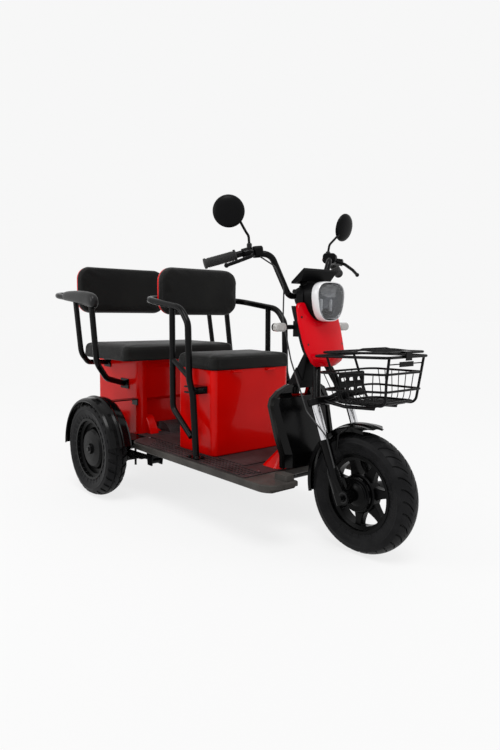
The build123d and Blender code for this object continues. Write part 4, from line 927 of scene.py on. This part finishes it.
def stitch_tree(name, material):
    """Small rods end to end along the edges of a mesh, with a gap between them."""
    tree, sizes = geometry_tree(name, pitch=0.005, length=0.0036, thread=0.0004)
    path = add(tree, "GeometryNodeMeshToCurve", {"Mesh": sizes["Geometry"]})
    spaced = {"Curve": path.outputs[0], "Length": sizes["pitch"]}
    even = add(tree, "GeometryNodeResampleCurve", spaced, mode="LENGTH")
    tangent = add(tree, "GeometryNodeInputTangent")
    aim = add(tree, "FunctionNodeAlignRotationToVector", {"Vector": tangent.outputs[0]}, axis="Z")
    thin = {"Vertices": 6, "Radius": sizes["thread"], "Depth": sizes["length"]}
    rod = add(tree, "GeometryNodeMeshCylinder", thin)
    laid = {"Points": even.outputs[0], "Instance": rod.outputs[0], "Rotation": aim.outputs[0]}
    return finish_tree(tree, add(tree, "GeometryNodeInstanceOnPoints", laid).outputs[0], material)


# Twisted polyester is matt and dark, so a row shows only as small breaks in the sheen of the vinyl.
thread = coated("black_polyester_thread", "#1C1C1C", "#121212", 0.6, 0.5, 0.05, drift=10)
stitching = stitch_tree("lock_stitches", thread)


def stitches(pad, body, place, shape, inset, height):
    """One closed row of stitches round a pad, laid on its skin."""
    skin = BVHTree.FromObject(pad, bpy.context.evaluated_depsgraph_get())
    outline = [Vector((x * mm, y * mm, height * mm)) for x, y in ring(*shape, inset)]
    seam = []
    for start, end in zip(outline, outline[1:] + outline[:1]):
        steps = max(1, round((end - start).length / (8 * mm)))
        for step in range(steps):
            hit, normal, _, _ = skin.find_nearest(place @ start.lerp(end, step / steps))
            seam.append(hit + normal * 0.2 * mm)
    mesh = bpy.data.meshes.new(f"{pad.name}_stitches")
    mesh.from_pydata(seam, [(k, (k + 1) % len(seam)) for k in range(len(seam))], [])
    row = grown(plain(mesh.name, mesh), stitching, pitch=0.0052, length=0.0036, thread=0.00045)
    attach(row, body)


for seam, (inset, height) in zip(seams, ((1.6, 46), (1.6, 54), (2.6, 30), (2.6, 30))):
    stitches(*seam, inset, height)


# ---- Armrest pads
# Self-skinned polyurethane foam moulded round the tube: thick and round in front, flatter behind.
# The skin is glossier than the vinyl, with a coarse grain. Stations: ahead, low, high and half width.
foam_skin = coated("self_skinned_foam", "#151515", "#0D0D0E", 0.34, 2.4, 0.1, drift=60, shine=0.24)
arm_stations = [
    (-338, 862, 870, 4),
    (-336, 853, 880, 13),
    (-330, 849, 887, 18),
    (-310, 847, 892, 20),
    (-260, 842, 893, 21),
    (-190, 835, 893, 21),
    (-120, 825, 889, 21.5),
    (-75, 818, 884, 22),
    (-48, 814, 877, 21.5),
    (-34, 815, 868, 19),
    (-26, 823, 857, 14),
    (-23, 834, 847, 5),
]
around = 24
for word, side in sides:
    points = []
    for x, low, high, half in arm_stations:
        for step in range(around):
            angle = 2 * math.pi * step / around
            c, s = math.cos(angle), math.sin(angle)
            y = side * 375 + half * math.copysign(abs(c) ** 0.75, c)
            z = (low + high) / 2 + (high - low) / 2 * math.copysign(abs(s) ** 0.8, s)
            points.append(at(x, y, z))
    faces = []
    for near in range(0, len(points) - around, around):
        for n in range(around):
            m = (n + 1) % around
            faces.append((near + n, near + m, near + around + m, near + around + n))
    faces.append(list(range(around)))
    faces.append([len(points) - around + n for n in reversed(range(around))])
    pad = solid_piece(f"arm_pad_{word}", "chassis", foam_skin, points, faces, sharp=180)
    smooth = pad.modifiers.new("even_skin", "SUBSURF")
    smooth.levels = smooth.render_levels = 2
    if side > 0:
        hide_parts("rear_arm_pads")


# ---- Headlight
# A white bezel moulding, narrower at the chin, snaps on a black shell and holds a bowed clear lens.
# Behind the lens an aluminised reflector carries two pale tubes over a dark lower shade.
LAMP_FRONT, LAMP_HEIGHT, LAMP_TOP = 989, 842, 59


def clear_plastic(name, colour, roughness):
    """Clear moulded polycarbonate: see-through, with a wet surface and very faint flow lines."""
    material, tree = blank(name)
    spot = add(tree, "ShaderNodeTexCoord").outputs["Object"]
    flow = add(tree, "ShaderNodeTexNoise", {"Vector": spot, "Scale": 1000 / 25, "Detail": 2.0})
    bump = add(tree, "ShaderNodeBump", {"Height": flow.outputs[0], "Distance": 0.15 * mm, "Strength": 1.0})
    face = add(
        tree,
        "ShaderNodeBsdfPrincipled",
        {
            "Base Color": linear(colour),
            "Roughness": roughness,
            "IOR": 1.45,
            "Transmission Weight": 1.0,
            "Normal": bump.outputs[0],
        },
    )
    add(tree, "ShaderNodeOutputMaterial", {"Surface": face.outputs[0]})
    return material


def lamp_skin(levels, shape, closed):
    """A skin of lamp outlines, narrowed by a quarter at the chin, through levels of inset and depth."""
    around, (half_wide, half_tall) = 72, shape
    points = []
    for step in range(around):
        angle = 2 * math.pi * step / around
        c, s = math.cos(angle), math.sin(angle)
        for inset, depth in levels:
            y = (half_wide - inset) * math.copysign(abs(c) ** 0.6, c)
            z = (half_tall - inset) * math.copysign(abs(s) ** 0.68, s)
            low = max(0, (LAMP_TOP - z) / (2 * LAMP_TOP))
            points.append(at(LAMP_FRONT + depth, y * (1 - 0.24 * low**1.8), LAMP_HEIGHT + z))
    rows = len(levels)
    faces = band(rows, around, closed_rows=closed)
    if not closed:
        faces.append([c * rows for c in range(around)])
        faces.append([c * rows + rows - 1 for c in reversed(range(around))])
    return points, faces


# White ABS under a thin clear coat: one even white with a sharp highlight along each edge.
thin_coat = {"Coat Weight": 0.6, "Coat Roughness": 0.08}
bezel_plastic = coated("glossy_white_abs", "#EDEDEE", "#E4E4E6", 0.2, 4, 0.02, **thin_coat)
bezel_levels = [(0.8, -19), (0, -17), (0, -2), (0.6, 4), (1.6, 8), (3, 10), (4.2, 10), (5, 7), (5, 0)]
points, faces = lamp_skin(bezel_levels + [(7, -19)], (73, 69), True)
bezel = solid_piece("headlight_bezel", "steering", bezel_plastic, points, faces, sharp=50)
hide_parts("headlight_housing")
points, faces = lamp_skin([(2, -58), (0.5, -57), (0.5, -21), (3, -16), (9, -16), (9, -58)], (73, 69), True)
solid_piece("headlight_shell", "steering", satin_plastic, points, faces, sharp=50)

# The lens is 7 mm thick: its face from the rim to the middle, then its inner skin back to the rim.
lens_levels = [(2.5, 0.5), (0.6, 0.5), (0.2, 3), (0.2, 5.5), (1.5, 8)]
insets = (5, 12, 20, 29, 39, 50, 58)
bow = [4.5 * (1 - (1 - inset / 58) ** 2) for inset in insets]
lens_levels += [(inset, 10.5 + deep) for inset, deep in zip(insets, bow)]
split = len(lens_levels)
lens_levels += reversed([(inset, 3.5 + deep) for inset, deep in zip(insets, bow)])
points, faces = lamp_skin(lens_levels, (69, 62), True)
rows, count = len(lens_levels), len(points) // len(lens_levels)
lens_faces = [f for f in faces if {i % rows for i in f} != {split - 1, split}]
lens_faces.append([c * rows + split - 1 for c in range(count)])
lens_faces.append([c * rows + split for c in range(count)])
lamp_lens = clear_plastic("clear_polycarbonate", "#D3D5D8", 0.02)
lens = solid_piece("headlight_bowed_lens", "steering", lamp_lens, points, lens_faces)
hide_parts("headlight_lens")

# Aluminium steamed onto plastic and hazed by age: grey metal that lights up without a clear image.
reflector_metal = coated("aluminised_reflector", "#77797C", "#66686B", 0.42, 5, 0.05, drift=60, Metallic=1.0)
bowl_levels = [(0, 0), (1.5, 1.0), (4, -8), (9, -19), (16, -28), (26, -35), (40, -38.5), (54, -39)]
points, faces = lamp_skin(bowl_levels, (66, 60), False)
open_front = faces[:-2]
rows = len(bowl_levels)
open_front.append([c * rows + rows - 1 for c in range(len(points) // rows)])
bowl_mesh = mesh_from("headlight_reflector", points, open_front)
bowl = fixed("headlight_reflector", "steering", reflector_metal, bowl_mesh)
wall = bowl.modifiers.new("sheet", "SOLIDIFY")
wall.thickness = 0.4 * mm

# The two tubes are opal glass, unlit: milky, with a clear skin.
clear_skin = {"Coat Weight": 1.0, "Coat Roughness": 0.03}
opal = coated("opal_glass", "#F4F4F4", "#CFCFD0", 0.12, 4, 0.02, drift=25, **clear_skin)
for number, y in enumerate((-27, 20)):
    turned(
        f"headlight_tube_{number + 1}",
        "steering",
        opal,
        at(LAMP_FRONT - 16, y, LAMP_HEIGHT - 12),
        (0, 0, 1),
        [(1, -22), (5, -20.5), (6.5, -17), (6.5, 17), (5, 20.5), (1, 22)],
        steps=28,
    )
shade_place = standing(LAMP_FRONT - 30, LAMP_HEIGHT - 36, 4)
points, faces = stacked([(1, -1), (0, 0), (0, 9), (2, 11), (12, 11)], shade_place, (38, 13, 8))
solid_piece("headlight_shade", "steering", satin_plastic, points, faces)


# ---- Mirrors
# A bent steel stem with a hex ferrule carries a round head of black plastic with a domed back.
# Convex glass, silvered behind, sits in a rolled rim on the rider's side and gives a sharp, cool image.
silvered = coated("silvered_mirror_glass", "#DDE1E4", "#D2D7DB", 0.02, 40, 0.01, Metallic=1.0)
head_profile = [(49.2, 0.4), (49.2, -1), (50, -2.4), (52.5, -2.4), (54, -1), (54.2, 2), (53, 6), (49, 10.5)]
head_profile += [(42, 14.5), (32, 17.6), (18, 19.6), (3, 20)]
for word, side, facing, stem_end in (
    ("left", 1, (0.965, 0.16, -0.21), (797, 284, 1130)),
    ("right", -1, (0.82, -0.57, -0.05), (815, 260, 1107)),
):
    look = Vector(facing).normalized()
    centre = at(798, side * 295, 1139) - look * 9 * mm
    stem_curve = bpy.data.curves.new(f"mirror_stem_{word}", "CURVE")
    stem_curve.dimensions = "3D"
    stem_curve.bevel_depth = 4.5 * mm
    stem_curve.bevel_resolution = 5
    stem_curve.use_fill_caps = True
    spline = stem_curve.splines.new("NURBS")
    stem_points = [(794, 200, 1026), (795, 203, 1048), (796, 206, 1066), (796, 218, 1076), stem_end]
    spline.points.add(len(stem_points) - 1)
    for point, (x, y, z) in zip(spline.points, stem_points):
        point.co = (*at(x, side * y, z), 1)
    spline.order_u = 3
    spline.use_endpoint_u = True
    holder = plain("stem", stem_curve)
    stem_mesh = evaluated_mesh(holder)
    bpy.data.objects.remove(holder)
    stem_mesh.shade_smooth()
    stem_mesh.materials.clear()
    fixed(f"mirror_stem_{word}", "steering", powder_coat, stem_mesh)
    ferrule = [(4, 0), (9, 0), (9, 22), (7, 24), (4.4, 26)]
    turned(
        f"mirror_ferrule_{word}",
        "steering",
        black_steel,
        at(794.5, side * 201, 1016),
        (0, 0, 1),
        ferrule,
        steps=6,
        sharp=20,
    )
    head = turned(
        f"mirror_head_{word}",
        "steering",
        satin_plastic,
        centre,
        look,
        head_profile,
        sharp=60,
    )
    turned(
        f"mirror_glass_{word}",
        "steering",
        silvered,
        centre,
        -look,
        [(49.4, -0.3), (49.4, 0.4), (40, 1.1), (28, 1.7), (14, 2.1), (2, 2.2)],
    )
    if side > 0:
        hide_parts("mirrors")


# ---- Turn signals and tail lamp
# Capsule lenses of clear acrylic on short stalks, and a wide red lens screwed to the back of the rear box.
# Both are moulded with prism flutes inside, which break the light into pale and dark bands under the skin.
def fluted_lens(name, light, dark, pitch, **shader):
    """Acrylic with upright prism flutes of one pitch in mm, under a clear skin."""
    material, tree = blank(name)
    spot = add(tree, "ShaderNodeTexCoord").outputs["Object"]
    bands = {"Vector": spot, "Scale": 1000 / pitch * math.pi / 10, "Distortion": 0.0}
    flutes = add(tree, "ShaderNodeTexWave", bands, bands_direction="Y")
    cloud = add(tree, "ShaderNodeTexNoise", {"Vector": spot, "Scale": 1000 / 8, "Detail": 3.0})
    blend = add(tree, "ShaderNodeMath", {0: flutes.outputs[1], 1: cloud.outputs[0]}, operation="MULTIPLY")
    colours = {0: blend.outputs[0], 6: linear(dark), 7: linear(light)}
    shade = add(tree, "ShaderNodeMix", colours, data_type="RGBA")
    bump = add(tree, "ShaderNodeBump", {"Height": flutes.outputs[1], "Distance": 0.5 * mm, "Strength": 1.0})
    face = add(
        tree,
        "ShaderNodeBsdfPrincipled",
        {
            "Base Color": shade.outputs[2],
            "Roughness": 0.2,
            "Normal": bump.outputs[0],
            "Coat Weight": 1.0,
            "Coat Roughness": 0.04,
            **shader,
        },
    )
    add(tree, "ShaderNodeOutputMaterial", {"Surface": face.outputs[0]})
    return material


dress(fluted_lens("pale_fluted_acrylic", "#E2E1DF", "#918F8C", 4), "turn_signals")
dull_skin = {"Coat Weight": 0.3, "Specular IOR Level": 0.1}
dress(fluted_lens("red_fluted_acrylic", "#D80806", "#7A0202", 6, **dull_skin), "tail_lamp")
screws = [(at(-419, side * 96, 470), (-1, 0, 0)) for side in both_sides]
bolts("tail_lamp_screws", "chassis", zinc_bolt, "chrome_steel", screws, across=5, tall=1.6, washer=9)


# ---- Grips, switches and levers
# Ribbed rubber grips are pushed over the bar ends; hands have left them dark grey and without a highlight.
# Each switch block is clamped inboard of its grip and has a pale rocker and a red button of nylon.
grip_rubber = coated("moulded_grip_rubber", "#343434", "#282828", 0.5, 0.9, 0.05, shine=0.15)
dress(grip_rubber, "grips")
rib_profile = [(15, 8)]
for rib in range(18):
    start = 10 + rib * 5
    rib_profile += [(15.6, start), (16.9, start + 0.8), (16.9, start + 2.8), (15.6, start + 3.6)]
rib_profile.append((15, 101))
for word, side in sides:
    grip_start = at(728, side * 340, 966)
    grip_along = at(800, side * 207, 1011) - grip_start
    name = f"grip_ribs_{word}"
    turned(name, "steering", grip_rubber, grip_start, grip_along, rib_profile, steps=40)

pale_switch = coated("pale_grey_nylon", "#B9B8B4", "#9B9A96", 0.4, 1.2, 0.02, drift=20)
red_switch = coated("red_nylon", "#B81412", "#A00F0E", 0.35, 1.2, 0.02, drift=20)
for word, side in sides:
    out = Vector((0.45, side * -0.88, 0.1)).normalized()
    pod_back = Vector((-0.88, side * -0.45, 0.1)).normalized()
    for name, material, dy, dz, size in (
        ("switch_rocker", pale_switch, 10, 6, 6.5),
        ("switch_button", red_switch, 22, -7, 5),
    ):
        turned(
            f"{name}_{word}",
            "steering",
            material,
            at(809, side * 196, 1009) + out * dy * mm + pod_back * 17 * mm + Vector((0, 0, dz * mm)),
            pod_back,
            [(size, -3), (size, 5), (size - 1, 6.5), (1, 7)],
            steps=32,
        )


# ---- Instrument dial
# A gauge on the sloping top of the hood faces the rider: a printed card held by a glossy moulded bezel.
# The card is matt black, so its matt white numbers and ticks stand out from every side.
dial_tilt = Matrix(((0, -0.778, -0.628), (-1, 0, 0), (0, -0.628, 0.778))).to_4x4()
dial_place = Matrix.Translation(at(915.5, 0, 935.2)) @ dial_tilt
bezel_levels = [(0, -2), (0, 1.4), (1.2, 2.4), (5, 2.4), (6, 1.4), (12, 1.4)]
points, faces = stacked(bezel_levels, dial_place, (62, 30, 12))
solid_piece("gauge_bezel", "steering", polished_plastic, points, faces)
dial_face = coated("printed_dial_card", "#0E0E10", "#08080A", 0.5, 2, 0.0, drift=30)
points, faces = stacked([(0, 1.2), (0, 1.9), (1, 2.1)], dial_place, (55, 23, 8))
solid_piece("gauge_card", "steering", dial_face, points, faces)
dial_ink = coated("white_dial_ink", "#E8E8E8", "#DCDCDC", 0.5, 2, 0.0, drift=30)


def tick_tree(name, material):
    """A thin raised bar at every vertex, its length along the facing."""
    tree, sizes = geometry_tree(name, long=0.004, wide=0.0008)
    shape = add(tree, "ShaderNodeCombineXYZ", {"X": sizes["wide"], "Y": sizes["wide"], "Z": sizes["long"]})
    bar = add(tree, "GeometryNodeMeshCube", {"Size": shape.outputs[0]})
    return on_points(tree, sizes["Geometry"], bar.outputs[0], material)


FIRST_MARK, SWEEP = 200, 220
ticks = []
for step in range(25):
    angle = math.radians(FIRST_MARK - SWEEP * step / 24)
    spot = Vector((math.cos(angle) * 19 * mm, math.sin(angle) * 19 * mm, 2.3 * mm))
    ticks.append((dial_place @ spot, dial_place.to_3x3() @ Vector((math.cos(angle), math.sin(angle), 0))))
tick = tick_tree("dial_tick", dial_ink)
sown("gauge_ticks", "steering", "white_plastic", tick, ticks, long=3 * mm, wide=0.6 * mm)
for number in range(7):
    angle = math.radians(FIRST_MARK - SWEEP * number / 6)
    words = bpy.data.curves.new(f"gauge_number_{number}", "FONT")
    words.body = str(number * 10)
    words.size = 5 * mm
    words.extrude = 0.2 * mm
    words.align_x = "CENTER"
    words.align_y = "CENTER"
    writing = plain(f"lettering_{number}", words)
    digits = evaluated_mesh(writing)
    bpy.data.objects.remove(writing)
    spot = Vector((math.cos(angle) * 13 * mm, math.sin(angle) * 13 * mm, 2.2 * mm))
    digits.transform(dial_place @ Matrix.Translation(spot))
    digits.materials.clear()
    fixed(f"gauge_number_{number}", "steering", dial_ink, digits)


# ---- Drive motor, battery and brake cable
# The motor housing is die-cast aluminium, left raw: dull grey metal with a coarse skin.
# The battery sits in a moulded case of dark grey plastic, and the brake cable runs in a smooth PVC sheath.
casting = coated("die_cast_aluminium", "#6A6B6D", "#505153", 0.5, 1.5, 0.08, drift=60, Metallic=0.85)
dress(casting, "drive_motor")
battery_case = coated("moulded_battery_case", "#333436", "#28292B", 0.55, 1.2, 0.05)
dress(battery_case, "battery")
sheath = coated("pvc_cable_sheath", "#202021", "#171718", 0.38, 2, 0.02, drift=40)
dress(sheath, "front_cables")
